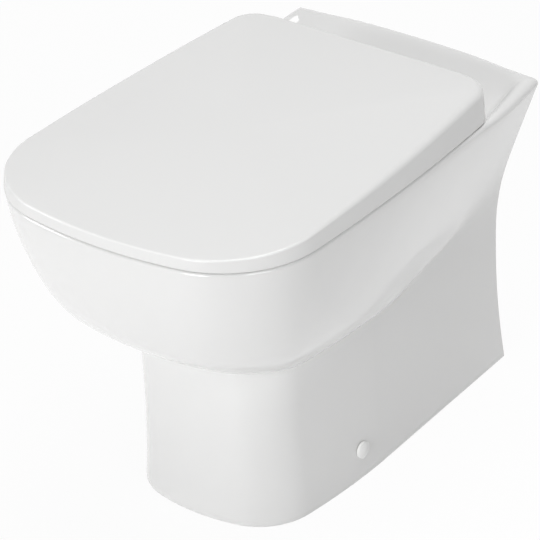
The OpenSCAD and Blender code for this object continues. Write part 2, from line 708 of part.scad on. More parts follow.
// A ring on the rim's rounding, by shares of its radius inwards and down
function rim_ring(share_in, share_down) = let (
        half = [for (p = rim_half) let (r = rim_r(p[0], p[1]) * share_in) inset_point(p, r, r)],
        back = [for (p = across_back(half[last_i], back_points)) [p[0], -rim_r(p[0], 0) * share_in, 0]])
    [for (p = ring(half, back)) [p[0], p[1], edge_z(p[0], p[1]) - rim_r(p[0], p[1]) * share_down]];

bowl_squareness = 2.4;
function pan_oval(grow, z) = oval(bowl_front + grow, bowl_back - grow, bowl_half_width + grow, z,
    bowl_squareness, ring_count);

// The bowl's inside, as shares: of its depth, from the bottom up, then in from the front and the
// back, of its length, and in from the sides, of its half width
bowl_levels = [
    [0.8, 0.016, 0.006, 0.031],
    [0.715, 0.06, 0.022, 0.102],
    [0.65, 0.133, 0.041, 0.188],
    [0.605, 0.229, 0.063, 0.281],
    [0.57, 0.33, 0.086, 0.367],
    [0.51, 0.39, 0.108, 0.445],
    [0.41, 0.438, 0.137, 0.539],
    [0.305, 0.47, 0.156, 0.602],
    [0.18, 0.508, 0.175, 0.672],
    [0.07, 0.546, 0.203, 0.75],
    [0.02, 0.59, 0.267, 0.852]];
sump_level = 6;
bowl_length = bowl_front - bowl_back;
sump_y = -bowl_back - bowl_length * (1 + last(bowl_levels)[2] - last(bowl_levels)[1]) / 2;
sump_z = dip_z - trap_r;
bowl_wall_top_z = ledge_floor_z - 6;
bowl_wall_blend = 60;
function level_z(level) = mix(sump_z, rim_front_z, level[0]);
function bowl_level(level, d) = let (z = level_z(level))
    oval(bowl_front - level[1] * bowl_length + d, bowl_back + level[2] * bowl_length - d,
        bowl_half_width * (1 - level[3]) + d, z - d * smooth((bowl_wall_top_z - z) / bowl_wall_blend),
        bowl_squareness, ring_count);

lip_width = 2;
lip_drop = 3;
module pan_body() {
    mouth = pan_oval(0, 0);
    lip = pan_oval(lip_width, 0);
    edge = rim_ring(1, 0);
    under_lip = pan_oval(pan_wall, 0);
    outside = concat(
        [for (turn = [90, 45, 0])
            foot_ring(foot_edge_radius * (1 - sin(turn)), foot_edge_radius * (1 - cos(turn)))],
        [for (level = [0.17, 0.34, 0.55, 0.78, 1]) pedestal_ring(level, 0)],
        [for (t = [0.006, 0.02, 0.05, 0.1, 0.17, 0.26, 0.37, 0.5, 0.64, 0.78, 0.9, 1]) bowl_ring(t, 0)],
        [for (turn = [22.5, 45, 67.5, 90]) rim_ring(1 - cos(turn), 1 - sin(turn))]);
    top = [for (t = [0.12, 0.26, 0.4, 0.56, 0.68, 0.76, 0.84, 1]) [for (i = [0:ring_count - 1])
        let (x = mix(edge[i][0], lip[i][0], t), y = mix(edge[i][1], lip[i][1], t))
        [x, y, top_z(x, y)]]];
    mouth_rings = [for (turn = [45, 90]) [for (i = [0:ring_count - 1])
        let (x = mix(lip[i][0], mouth[i][0], sin(turn)), y = mix(lip[i][1], mouth[i][1], sin(turn)))
        [x, y, top_z(x, y) - lip_drop * (1 - cos(turn))]]];
    inner_skin = concat(
        [for (level = [0, 0.35, 0.7, 1]) pedestal_ring(level, pan_wall)],
        [for (t = [0.02, 0.08, 0.2, 0.4, 0.65, 1]) bowl_ring(t, pan_wall, ledge_wall)]);
    roof = last(inner_skin);
    under = [for (t = [0.12, 0.26, 0.4, 0.56, 0.68, 0.84]) [for (i = [0:ring_count - 1])
        let (x = mix(roof[i][0], under_lip[i][0], t), y = mix(roof[i][1], under_lip[i][1], t))
        [x, y, top_z(x, y) - ledge_wall]]];
    closed_skin(concat(
        // From the sump up the bowl's inside, over the rim and down the outside
        [for (k = [len(bowl_levels) - 1:-1:0]) bowl_level(bowl_levels[k], 0)],
        [mouth_rings[1], mouth_rings[0]],
        [for (k = [len(top) - 1:-1:0]) top[k]],
        [for (k = [len(outside) - 1:-1:0]) outside[k]],
        // From the floor up the hollow's inside, under the rim and down the bowl's outside
        inner_skin, under, [pan_oval(pan_wall, bowl_wall_top_z)],
        [for (level = bowl_levels) bowl_level(level, pan_wall)]),
        [0, sump_y, sump_z], [0, sump_y, sump_z - pan_wall]);
}

// The sump's inside, grown a little, so that the trap's tube starts inside its wall
sump_grow = 3;
module sump_core() {
    closed_skin([for (k = [sump_level:len(bowl_levels) - 1]) bowl_level(bowl_levels[k], sump_grow)],
        [0, sump_y, level_z(bowl_levels[sump_level]) + sump_grow], [0, sump_y, sump_z - sump_grow]);
}

// The trap's centre line: dip, bend, rising leg, bend and outlet
trap_entry = 6;
trap_start = sump_y + trap_entry;
dip_y = sump_y + dip_run;
trap_leg = (outlet_z - dip_z - 2 * trap_bend * (1 - cos(trap_angle))) / sin(trap_angle);
leg_y = dip_y + trap_bend * sin(trap_angle);
leg_z = dip_z + trap_bend * (1 - cos(trap_angle));
crest_y = leg_y + trap_leg * cos(trap_angle) + trap_bend * sin(trap_angle);
bend_ease = 0.05;
leg_overlap = 1;
module trap_bend_piece(r) rotate_extrude(angle = trap_angle) translate([trap_bend, 0])
    circle(r = r + bend_ease);
module along_trap(r, start) {
    translate([0, start, dip_z]) rotate([-90, 0, 0]) cylinder(r = r, h = dip_y - start + leg_overlap);
    translate([0, dip_y, dip_z + trap_bend]) rotate([0, 90, 0]) trap_bend_piece(r);
    translate([0, leg_y, leg_z]) rotate([-90 + trap_angle, 0, 0]) translate([0, 0, -leg_overlap])
        cylinder(r = r, h = trap_leg + 2 * leg_overlap);
    translate([0, crest_y, outlet_z - trap_bend]) rotate([0, -90, 0]) rotate([0, 0, -trap_angle])
        trap_bend_piece(r);
    translate([0, crest_y - leg_overlap, outlet_z]) rotate([-90, 0, 0])
        cylinder(r = r, h = spigot_start - crest_y + leg_overlap + bore_blend);
}

spigot_start = -spigot_setback - spigot_length;
channel_end = -bowl_back - 4;
spigot_taper = 16;
bore_blend = 8;
inlet_wall = 9;
boss_overlap = 8;
boss_setback = 6;
hole_reach = 30;

module pan() place() color("white") difference() {
    union() {
        pan_body();
        difference() {
            along_trap(trap_r + trap_wall, trap_start);
            sump_core();
        }
        translate([0, spigot_start, outlet_z]) rotate([-90, 0, 0])
            cylinder(d = spigot_d, h = spigot_length);
        translate([0, spigot_start - spigot_taper, outlet_z]) rotate([-90, 0, 0])
            cylinder(r1 = trap_r + trap_wall - 1, r2 = spigot_d / 2, h = spigot_taper);
        translate([0, channel_end + boss_overlap, inlet_z]) rotate([-90, 0, 0])
            cylinder(d = inlet_d + 2 * inlet_wall, h = -channel_end - boss_overlap - boss_setback);
    }
    along_trap(trap_r, trap_start);
    translate([0, spigot_start - bore_blend, outlet_z]) rotate([-90, 0, 0])
        cylinder(r1 = trap_r, r2 = spigot_bore / 2, h = 2 * bore_blend);
    translate([0, spigot_start + bore_blend, outlet_z]) rotate([-90, 0, 0])
        cylinder(d = spigot_bore, h = spigot_length);
    translate([0, -inlet_depth, inlet_z]) rotate([-90, 0, 0]) cylinder(d = inlet_d, h = inlet_depth + 1);
    translate([0, channel_end - boss_overlap, inlet_z]) rotate([-90, 0, 0])
        cylinder(d = channel_d, h = -channel_end);
    service_opening();
    at_holes() translate([0, 0, ledge_floor_z - 2 * ledge_wall])
        cylinder(d = fixing_hole_d, h = 3 * ledge_wall);
    for (side = [-1, 1]) translate([side * (foot_half_width - hole_reach), -side_screw_back, side_screw_z])
        rotate([0, side * 90, 0]) cylinder(d = side_hole_d, h = 2 * hole_reach);
}

// The back is open round the outlet, from the floor to below the inlet
service_half = 78;
service_top = 236;
service_radius = 30;
module service_opening() translate([0, 1, 0]) rotate([90, 0, 0]) linear_extrude(pan_wall + 6) {
    translate([-service_half, -1]) square([2 * service_half, service_top - service_radius + 1]);
    translate([-service_half + service_radius, -1])
        square([2 * (service_half - service_radius), service_top + 1]);
    for (side = [-1, 1]) translate([side * (service_half - service_radius), service_top - service_radius])
        circle(r = service_radius);
}

// ---- Floor fixing ---------------------------------------------------------------------

// Half width of the pedestal's outside at a place along its side
function side_x(y, z) = lookup(y, [for (i = [3:last_i]) let (p = pedestal_point(i, z, 0)) [p[1], p[0]]]);

bracket_height = 52;
bracket_foot = 46;
bracket_x = side_x(-side_screw_back - bracket_width / 2, bracket_height) - pan_wall - seat_clearance;
cup_x = side_x(-side_screw_back, side_screw_z - cap_d / 2) + seat_clearance;
cup_thickness = 2;
cup_d = cap_d - 3;
cap_rim = 3;
cap_dome_r = ((cap_d / 2) ^ 2 + (cap_height - cap_rim) ^ 2) / (2 * (cap_height - cap_rim));
screw_head_r = side_screw_d * 0.9;
screw_head = 1.6;
module at_side_screw(side) mirror([side < 0 ? 1 : 0, 0, 0])
    translate([0, -side_screw_back, side_screw_z]) rotate([0, 90, 0]) children();

module floor_bracket(side) place() color("silver") mirror([side < 0 ? 1 : 0, 0, 0])
    difference() {
        translate([0, -side_screw_back - bracket_width / 2, 0]) {
            translate([bracket_x - bracket_wall, 0, 0]) cube([bracket_wall, bracket_width, bracket_height]);
            translate([bracket_x - bracket_foot, 0, 0]) cube([bracket_foot, bracket_width, bracket_wall]);
        }
        translate([0, -side_screw_back, side_screw_z]) rotate([0, 90, 0])
            cylinder(d = side_screw_d + 2 * pin_clearance, h = bracket_x + 10);
        for (step = [-1, 1]) translate([bracket_x - bracket_foot / 2 - bracket_wall / 2,
            -side_screw_back + step * bracket_width / 4, -1])
            cylinder(d = bracket_hole_d, h = bracket_wall + 2);
    }

module side_screws() place() color("silver") for (side = [-1, 1]) at_side_screw(side) {
    translate([0, 0, bracket_x - bracket_wall - 6])
        cylinder(d = side_screw_d, h = cup_x + cup_thickness - bracket_x + bracket_wall + 7);
    translate([0, 0, cup_x + cup_thickness]) cylinder(r = screw_head_r, h = screw_head);
}

module screw_cups() place() color("white") for (side = [-1, 1]) at_side_screw(side)
    translate([0, 0, cup_x]) difference() {
        cylinder(d = cup_d, h = cup_thickness);
        translate([0, 0, -1]) cylinder(d = side_screw_d + 2 * pin_clearance, h = cup_thickness + 2);
    }

// A push-on cap: a shallow dome over a straight rim, clipped on its cup and clear of the screw
module cap(side) place() color("white") at_side_screw(side) translate([0, 0, cup_x])
    rotate_extrude() difference() {
        union() {
            square([cap_d / 2, cap_rim]);
            intersection() {
                translate([0, cap_height - cap_dome_r]) circle(r = cap_dome_r, $fn = 96);
                translate([0, cap_rim - 0.5]) square([cap_d / 2, cap_height]);
            }
        }
        translate([-1, -1]) square([1 + cup_d / 2 + pin_clearance, 1 + cup_thickness + 0.2]);
        translate([-1, -1]) square([1 + screw_head_r + 0.8, 1 + cup_thickness + screw_head + 0.3]);
    }

// ---- Flush inlet ----------------------------------------------------------------------

seal_length = inlet_depth - 2;
module inlet_seal() place() color("dimgray") translate([0, -inlet_depth + 1, inlet_z]) rotate([-90, 0, 0])
    rotate_extrude() {
        half = flush_pipe_d / 2;
        difference() {
            translate([half, 0]) square([inlet_d / 2 - half - 0.2, seal_length]);
            for (k = [0:3]) translate([inlet_d / 2 - 0.2, 7 + 6 * k]) circle(r = 1.6, $fn = 24);
        }
    }

pan();
lid();
seat();
lid_buffers();
seat_buffers();
hinge_pillar(-1);  // hinge_pillar_left
hinge_pillar(1);  // hinge_pillar_right
pivot_pin(-1);  // pivot_pin_left
pivot_pin(1);  // pivot_pin_right
damper(-1);  // lid_damper
damper(1);  // seat_damper
damper_shaft(-1);  // lid_damper_shaft
damper_shaft(1);  // seat_damper_shaft
release_button(-1);  // release_button_left
release_button(1);  // release_button_right
button_spring(-1);  // button_spring_left
button_spring(1);  // button_spring_right
hinge_plate(-1);  // hinge_plate_left
hinge_plate(1);  // hinge_plate_right
fixing_studs();
stud_bushes();
stud_washers();
stud_nuts();
floor_bracket(-1);  // floor_bracket_left
floor_bracket(1);  // floor_bracket_right
side_screws();
screw_cups();
cap(-1);  // cap_left
cap(1);  // cap_right
inlet_seal();
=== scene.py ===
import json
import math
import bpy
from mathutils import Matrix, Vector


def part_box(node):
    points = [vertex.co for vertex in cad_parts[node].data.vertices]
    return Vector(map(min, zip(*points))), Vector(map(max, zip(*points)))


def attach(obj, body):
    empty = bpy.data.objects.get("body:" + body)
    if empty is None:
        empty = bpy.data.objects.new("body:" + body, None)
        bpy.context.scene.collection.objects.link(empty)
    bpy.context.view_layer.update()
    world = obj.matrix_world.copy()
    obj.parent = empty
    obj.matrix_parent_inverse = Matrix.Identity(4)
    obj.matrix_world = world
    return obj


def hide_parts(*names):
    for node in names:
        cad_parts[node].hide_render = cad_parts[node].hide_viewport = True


bl_info = {
    "name": "Back to wall toilet",
    "version": (1, 0, 0),
    "blender": (4, 5, 0),
    "location": "View3D > Sidebar > Toilet",
    "description": "Dresses a back to wall toilet: glazed pan, soft-close seat and lid, hinges and fixings",
    "category": "Add Mesh",
}

import bmesh
import bpy
from bpy.props import FloatProperty, FloatVectorProperty, PointerProperty
from mathutils import Matrix, Vector

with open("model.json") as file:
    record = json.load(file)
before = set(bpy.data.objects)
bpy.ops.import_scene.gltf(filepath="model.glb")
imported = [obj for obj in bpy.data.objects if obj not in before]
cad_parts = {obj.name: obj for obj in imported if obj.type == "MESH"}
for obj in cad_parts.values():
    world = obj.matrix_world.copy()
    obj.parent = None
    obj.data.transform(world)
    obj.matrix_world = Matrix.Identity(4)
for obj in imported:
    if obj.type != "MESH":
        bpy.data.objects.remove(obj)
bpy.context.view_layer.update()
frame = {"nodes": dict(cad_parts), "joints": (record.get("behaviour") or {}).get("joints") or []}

# ---- Sizes ----
# Lengths are in millimetres, with y = 0 at the wall, until to_frame() turns them into metres.

MM = 0.001
WALL_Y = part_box("pan")[1].y


def to_frame(point):
    """A point in millimetres from the wall as a point of the frame, in metres."""
    return Vector((point[0] * MM, point[1] * MM + WALL_Y, point[2] * MM))


def corner(node, which):
    """A CAD node's lowest (0) or highest (1) corner, in millimetres from the wall."""
    x, y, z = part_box(node)[which]
    return Vector((x / MM, (y - WALL_Y) / MM, z / MM))


def joint_place(name):
    """Where a joint's axis is, in millimetres from the wall."""
    x, y, z = next(j["pos_m"] for j in frame["joints"] if j["name"] == name)
    return Vector((x / MM, (y - WALL_Y) / MM, z / MM))


HINGE = joint_place("lid_hinge")

# Lid
LID_FRONT = corner("lid", 0).y
LID_BACK = corner("lid", 1).y
LID_HALF = corner("lid", 1).x
LID_TOP = corner("lid", 1).z
LID_MIDDLE = (LID_FRONT + LID_BACK) / 2
LID_FRONT_RADIUS = 473
LID_FRONT_ANGLE = 11.3
LID_SIDE_RADIUS = 2590
LID_BACK_CORNER = 33
LID_CREASE_Z = 402
LID_CROWN = LID_TOP - LID_CREASE_Z
LID_LEAN = 1.3
LID_WALL = 4
LID_GAP = 1.6
LID_HEM = 1.2
LID_FILLET = 2

# Seat
SEAT_TOP = corner("seat", 1).z
SEAT_INSET = 10.3
SEAT_BACK = -128
SEAT_HOLE_HALF = 108
SEAT_HOLE_FRONT = 486
SEAT_HOLE_BACK = 216
SEAT_OVAL = 2.3
SEAT_BACK_CORNER = 30
SEAT_GAP = 2.6
SEAT_WALL = 6
SEAT_EDGE, SEAT_LIP, SEAT_BEAD, SEAT_CHANNEL = 4.0, 6.0, 0.8, 0.4

# Pan
RIM_FRONT_Z = 388
RIM_FALL = 0.0588
# The rim's rounding is fuller behind one line and outside another, and gets so over these runs
RIM_RADIUS, RIM_WALL_RADIUS = 4.0, 8.5
RIM_FULLER_Y, RIM_FULLER_RUN = -130, 110
RIM_FULLER_X, RIM_FULLER_WIDTH = 60, 70

PAN_INSET = 1.2
PAN_WALL = 11
LEDGE_WALL = 14
FOOT_LENGTH = 422.5
FOOT_HALF = 104.5
FOOT_ROUND = 2.5
FOOT_FRONT_RADIUS, FOOT_FRONT_TURN = 220, 13.4
FOOT_CORNER_RADIUS, FOOT_CORNER_TURN = 67.6, 68.3
FOOT_SIDE_RADIUS, FOOT_SIDE_TURN = 807, 8.3
CREASE_FRONT, CREASE_SIDE, CREASE_BACK = 220, 158, 207
CREASE_BEND, CREASE_BEND_END = 1.6, 0.4
CREASE_SOFT, CREASE_SOFT_START, CREASE_FLARE = 20, 0.65, 0.43
CREASE_CRISP = 0.1
SWEEP_FRONT, SWEEP_MIDDLE, SWEEP_BACK = 0.3, 0.95, 1.0
SWEEP_LEVEL_FRONT, SWEEP_LEVEL_BACK = 1.4, 1.0
WAIST_FRONT, WAIST_BACK, WAIST_Z, WAIST_END = 4.7, 8.4, 116, 0.6
LEDGE_FLOOR, LEDGE_BACK, LEDGE_END = 354, 371, 366.5
LEDGE_START, LEDGE_RISE, LEDGE_CURVE = -148, -76, 1.7
LEDGE_STEP, LEDGE_SIDE = 14, 12
BOWL_FRONT, BOWL_BACK, BOWL_HALF, BOWL_OVAL = 505, 190, 128, 2.4
LIP_RADIUS, LIP_WIDTH = 3.0, 2

# Trap and pipes
TRAP_R, TRAP_WALL = 26, 9
DIP_Z, DIP_RUN, TRAP_START = 78, 12, 6
TRAP_BEND, TRAP_ANGLE, TRAP_STEPS = 44, 65, 10
OUTLET_Z, SPIGOT_R, SPIGOT_BORE_R = 180, 51, 42
SPIGOT_END, SPIGOT_LENGTH, SPIGOT_TAPER, SPIGOT_ROUND = -25, 50, 16, 3
SPIGOT_START = SPIGOT_END - SPIGOT_LENGTH
SPIGOT_BORE_TAPER = 8
RIDGE_PLACES = (16, 30)
# A sealing ridge's section: how far along from its crown, and how far below it
RIDGE_SECTION = ((-2.2, 1.2), (-1.2, 0.3), (0, 0), (1.2, 0.3), (2.2, 1.2))
INLET_Z, INLET_R, INLET_DEPTH, CHANNEL_R = 300, 27.5, 34, 20
INLET_CHAMFER, CHANNEL_PAST = 2.5, 12
BOSS_WALL, BOSS_FRONT, BOSS_BACK = 9, -186, -6
SERVICE_HALF, SERVICE_TOP, SERVICE_RADIUS = 78, 236, 30
# How far a cut runs past the face it starts at, and past the far side of what it cuts
CUT_PAST, CUT_THROUGH = 1, 5

# How finely the outlines are divided, as a multiple of their arcs' least steps
FINE = 4


# ---- Curves ----


def mix(a, b, t):
    return a + (b - a) * t


def clamp01(t):
    return min(max(t, 0.0), 1.0)


def smooth(t):
    c = clamp01(t)
    return c * c * (3 - 2 * c)


def sind(a):
    return math.sin(math.radians(a))


def cosd(a):
    return math.cos(math.radians(a))


def bend3(first, middle, last, t):
    """A curve through three values, at t = 0, 0.5 and 1."""
    return first * (1 - t) ** 2 + last * t**2 + (4 * middle - first - last) * t * (1 - t)


def power(value, n):
    return math.copysign(abs(value) ** n, value)


def steps(count, first=0.0, last=1.0):
    """count + 1 even steps from first to last."""
    return [mix(first, last, k / count) for k in range(count + 1)]


def walk(arcs, x, y, heading=0.0):
    """Points [x, y, heading] along arcs, each (radius, turn in degrees, steps)."""
    points = []
    for radius, turn, count in arcs:
        cx, cy = x - radius * sind(heading), y + radius * cosd(heading)
        for k in range(1, count + 1):
            a = heading + turn * k / count
            points.append((cx + radius * sind(a), cy - radius * cosd(a), a))
        x, y, heading = points[-1]
    return points


def full_ring(half, back):
    """The closed outline from its right half, front to back, and the points along its back."""
    left = [(-x, y, -a) for x, y, a in reversed(half[1:])]
    return list(half) + back + left


def inset(point, depth, wall=-math.inf):
    """A point of an outline moved inwards, and kept at least as far as wall from the wall plane."""
    x, y, a = point
    return (x - depth * sind(a), min(y + depth * cosd(a), -wall), a)


def oval(front, back, half, n, count):
    """A closed oval of count points, from its front on round the right side."""
    middle, length = (front + back) / 2, (front - back) / 2
    angles = [-90 + 360 * i / count for i in range(count)]
    return [(half * power(cosd(a), 2 / n), -middle + length * power(sind(a), 2 / n)) for a in angles]


def between(table, k):
    """A row of numbers at place k between the rows of a table, on a smooth curve."""
    i = min(int(k), len(table) - 2)
    t = k - i
    rows = [table[min(max(j, 0), len(table) - 1)] for j in range(i - 1, i + 3)]
    return [
        b + 0.5 * t * (c - a + t * (2 * a - 5 * b + 4 * c - d + t * (3 * (b - c) + d - a)))
        for a, b, c, d in zip(*rows)
    ]


# ---- Outlines and heights ----

LID_CORNER = (LID_HALF - LID_FRONT_RADIUS * sind(LID_FRONT_ANGLE)) / (1 - sind(LID_FRONT_ANGLE))
LID_SIDE_START = (
    LID_FRONT + LID_FRONT_RADIUS * (1 - cosd(LID_FRONT_ANGLE)) + LID_CORNER * cosd(LID_FRONT_ANGLE)
)


def rim_z(y):
    return RIM_FRONT_Z - RIM_FALL * (y - LID_FRONT)


def lid_outline(depth, back, back_radius):
    """The lid's outline pulled in by depth, with its back edge and back corners where given."""
    side = math.degrees(math.asin((back - back_radius - LID_SIDE_START) / (LID_SIDE_RADIUS - back_radius)))
    half = [(0.0, LID_FRONT + depth, 0.0)] + walk(
        [
            (LID_FRONT_RADIUS - depth, LID_FRONT_ANGLE, 3 * FINE),
            (LID_CORNER - depth, 90 - LID_FRONT_ANGLE, 9 * FINE),
            (LID_SIDE_RADIUS - depth, side, 6 * FINE),
            (back_radius - depth, 90 - side, 5 * FINE),
        ],
        0.0,
        LID_FRONT + depth,
    )
    count = 6 * FINE
    x, y = half[-1][:2]
    return full_ring(half, [(x * (1 - 2 * k / count), y, 180.0) for k in range(1, count)])


RIM_SIDE_X = LID_HALF - PAN_INSET
RIM_SIDE_TURN = 4.2
RIM_SIDE_END = LID_SIDE_START + LID_SIDE_RADIUS * sind(RIM_SIDE_TURN)


def rim_half_width(y):
    if y < RIM_SIDE_END:
        return RIM_SIDE_X - LID_SIDE_RADIUS + math.sqrt(LID_SIDE_RADIUS**2 - (y - LID_SIDE_START) ** 2)
    straight = (y - RIM_SIDE_END) * math.tan(math.radians(RIM_SIDE_TURN))
    return RIM_SIDE_X - LID_SIDE_RADIUS * (1 - cosd(RIM_SIDE_TURN)) - straight


def rim_heading(y):
    return 90 + min(math.degrees(math.asin((y - LID_SIDE_START) / LID_SIDE_RADIUS)), RIM_SIDE_TURN)


def rim_half():
    """Right half of the rim's outline, front to wall."""
    side = [LID_SIDE_START * (1 - t) for t in steps(9 * FINE)[1:]]
    arcs = [
        (LID_FRONT_RADIUS - PAN_INSET, LID_FRONT_ANGLE, 3 * FINE),
        (LID_CORNER - PAN_INSET, 90 - LID_FRONT_ANGLE, 9 * FINE),
    ]
    front = LID_FRONT + PAN_INSET
    half = [(0.0, front, 0.0)] + walk(arcs, 0.0, front)
    return half + [(rim_half_width(y), y, rim_heading(y)) for y in side]


def foot_half():
    """Right half of the foot's outline, point for point with the rim's."""
    arcs = [
        (FOOT_FRONT_RADIUS, FOOT_FRONT_TURN, 3 * FINE),
        (FOOT_CORNER_RADIUS, FOOT_CORNER_TURN, 7 * FINE),
        (FOOT_SIDE_RADIUS, FOOT_SIDE_TURN, 2 * FINE),
    ]
    half = [(0.0, -FOOT_LENGTH, 0.0)] + walk(arcs, 0.0, -FOOT_LENGTH)
    x, y = half[-1][:2]
    return half + [(mix(x, FOOT_HALF, t), y * (1 - t), 90.0) for t in steps(9 * FINE)[1:]]


RIM = rim_half()
FOOT = foot_half()
BACK_STEPS = 8 * FINE
RING_COUNT = 2 * (len(RIM) - 1) + BACK_STEPS


def along(i):
    """How far a point of the half outline is from the front, 0, to the wall, 1."""
    return 1 - RIM[i][1] / RIM[0][1]


def with_back(half):
    """A closed ring from its right half and straight across the back."""
    x, y, z = half[-1]
    back = [(x * (1 - 2 * k / BACK_STEPS), y, z) for k in range(1, BACK_STEPS)]
    return list(half) + back + [(-px, py, pz) for px, py, pz in reversed(half[1:])]


# ---- Mesh helpers ----


def edges_round(bm, verts):
    """The edges of a closed loop of vertices."""
    return [bm.edges.get(pair) for pair in zip(verts, verts[1:] + verts[:1])]


def loft(bm, rings):
    """Extrudes a closed loop of edges through rings of points, and returns its first and last loop."""
    first = [bm.verts.new(to_frame(point)) for point in rings[0]]
    verts = first
    edges = [bm.edges.new(pair) for pair in zip(verts, verts[1:] + verts[:1])]
    for ring in rings[1:]:
        made = bmesh.ops.extrude_edge_only(bm, edges=edges)
        fresh = {v for v in made["geom"] if isinstance(v, bmesh.types.BMVert)}
        verts = [next(e.other_vert(v) for e in v.link_edges if e.other_vert(v) in fresh) for v in verts]
        for vert, point in zip(verts, ring):
            vert.co = to_frame(point)
        edges = edges_round(bm, verts)
    return first, verts


def close_at(bm, verts, pole):
    """Closes a loop of vertices with a fan to one point."""
    made = bmesh.ops.extrude_edge_only(bm, edges=edges_round(bm, verts))
    tips = [v for v in made["geom"] if isinstance(v, bmesh.types.BMVert)]
    bmesh.ops.pointmerge(bm, verts=tips, merge_co=to_frame(pole))


def new_piece(name, bm, body=None):
    """An object from a bmesh, which is freed, linked to the scene and riding on its body."""
    bmesh.ops.recalc_face_normals(bm, faces=bm.faces)
    mesh = bpy.data.meshes.new(name)
    bm.to_mesh(mesh)
    bm.free()
    piece = bpy.data.objects.new(name, mesh)
    bpy.context.scene.collection.objects.link(piece)
    if body:
        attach(piece, body)
    return piece


def apply_modifiers(piece):
    """Replaces a piece's mesh with the one its modifiers make."""
    graph = bpy.context.evaluated_depsgraph_get()
    mesh = bpy.data.meshes.new_from_object(piece.evaluated_get(graph))
    old = piece.data
    piece.modifiers.clear()
    piece.data = mesh
    mesh.name = piece.name
    bpy.data.meshes.remove(old)


def combine(piece, tool, operation):
    """Joins a tool to a piece, or cuts it out, and removes the tool."""
    modifier = piece.modifiers.new("Combine", "BOOLEAN")
    modifier.object = tool
    modifier.operation = operation
    modifier.solver = "EXACT"
    apply_modifiers(piece)
    bpy.data.objects.remove(tool)


def shade(piece, angle=32):
    """Smooth shading, broken at edges sharper than the angle."""
    piece.data.shade_smooth()
    piece.data.set_sharp_from_angle(angle=math.radians(angle))


def cylinder(bm, start, end, radius, end_radius=None, count=64):
    """A closed cylinder or cone between two points, in millimetres."""
    a, b = to_frame(start), to_frame(end)
    turn = (b - a).to_track_quat("Z", "Y").to_matrix().to_4x4()
    bmesh.ops.create_cone(
        bm,
        cap_ends=True,
        segments=count,
        radius1=radius * MM,
        radius2=(radius if end_radius is None else end_radius) * MM,
        depth=(b - a).length,
        matrix=Matrix.Translation((a + b) / 2) @ turn,
    )


def block(bm, low, high):
    """A box between two corners, in millimetres."""
    a, b = to_frame(low), to_frame(high)
    size = Matrix.Diagonal((b.x - a.x, b.y - a.y, b.z - a.z, 1.0))
    bmesh.ops.create_cube(bm, size=1.0, matrix=Matrix.Translation((a + b) / 2) @ size)


def on_axis(bm, x0, x1, radius, count=64):
    """A cylinder along the hinge axis."""
    cylinder(bm, (x0, HINGE.y, HINGE.z), (x1, HINGE.y, HINGE.z), radius, count=count)


# ---- Pan ----


def crease_z(i):
    """The crease curves down from the front, then rises evenly to the wall."""
    s = along(i)
    side = mix(CREASE_SIDE, CREASE_BACK, s)
    return mix(CREASE_FRONT, side, 1 - (1 - clamp01(s / CREASE_BEND_END)) ** CREASE_BEND)


def crease_fillet(i, z):
    """How far the crease's fillet stands out. It is crisp at the front and soft at the wall."""
    soft = CREASE_SOFT * smooth((along(i) - CREASE_SOFT_START) / (1 - CREASE_SOFT_START))
    away = abs(z - crease_z(i)) / max(soft, CREASE_CRISP)
    return CREASE_FLARE * soft * math.log(1 + math.exp(-away))


def draw_in(i, z):
    """How far the pedestal's waist draws in."""
    waist = mix(WAIST_FRONT, WAIST_BACK, smooth(along(i) / WAIST_END))
    return waist * (1 - (1 - clamp01(z / WAIST_Z)) ** 2)


def pedestal_point(i, z, depth, round_in=0.0):
    x, y, _ = inset(FOOT[i], depth + draw_in(i, z) + round_in - crease_fillet(i, z), depth)
    return (x, y, z)


def rim_radius(x, y):
    """The rim's rounding: crisp under the lid, fuller along the sides as they near the wall."""
    near_wall = smooth((y - RIM_FULLER_Y) / RIM_FULLER_RUN)
    near_side = smooth((abs(x) - RIM_FULLER_X) / RIM_FULLER_WIDTH)
    return mix(RIM_RADIUS, RIM_WALL_RADIUS, near_wall * near_side)


def edge_z(x, y):
    """Height of the ceramic's edge: the rim plane, and an arch along the wall."""
    arch = mix(LEDGE_BACK, LEDGE_END, clamp01(abs(x) / rim_half_width(0.0)) ** 2)
    return mix(rim_z(y), arch, smooth((y - HINGE.y) / -HINGE.y))


def top_z(x, y):
    """Height of the ceramic's top: the rim, the ledge's floor and its rise to the wall."""
    edge = edge_z(x, y)
    radius = rim_radius(x, y)
    rise = clamp01((y - LEDGE_RISE) / (-LEDGE_RISE - radius)) ** LEDGE_CURVE
    depth = smooth((y - LEDGE_START + LEDGE_STEP) / LEDGE_STEP)
    side = smooth((rim_half_width(min(y, 0.0)) - radius - abs(x)) / LEDGE_SIDE)
    return mix(edge, mix(LEDGE_FLOOR, edge, rise), depth * side)


def sweep(i, t):
    """How far the bowl's side has swept out at t, from the crease, 0, to the rim, 1."""
    s = along(i)
    rise = 1 - (1 - t) ** mix(SWEEP_LEVEL_FRONT, SWEEP_LEVEL_BACK, s)
    return rise ** bend3(SWEEP_FRONT, SWEEP_MIDDLE, SWEEP_BACK, s)


def pedestal_ring(level, depth, round_in=0.0, lift=0.0):
    return with_back(
        [pedestal_point(i, max(crease_z(i) * level, lift), depth, round_in) for i in range(len(RIM))]
    )


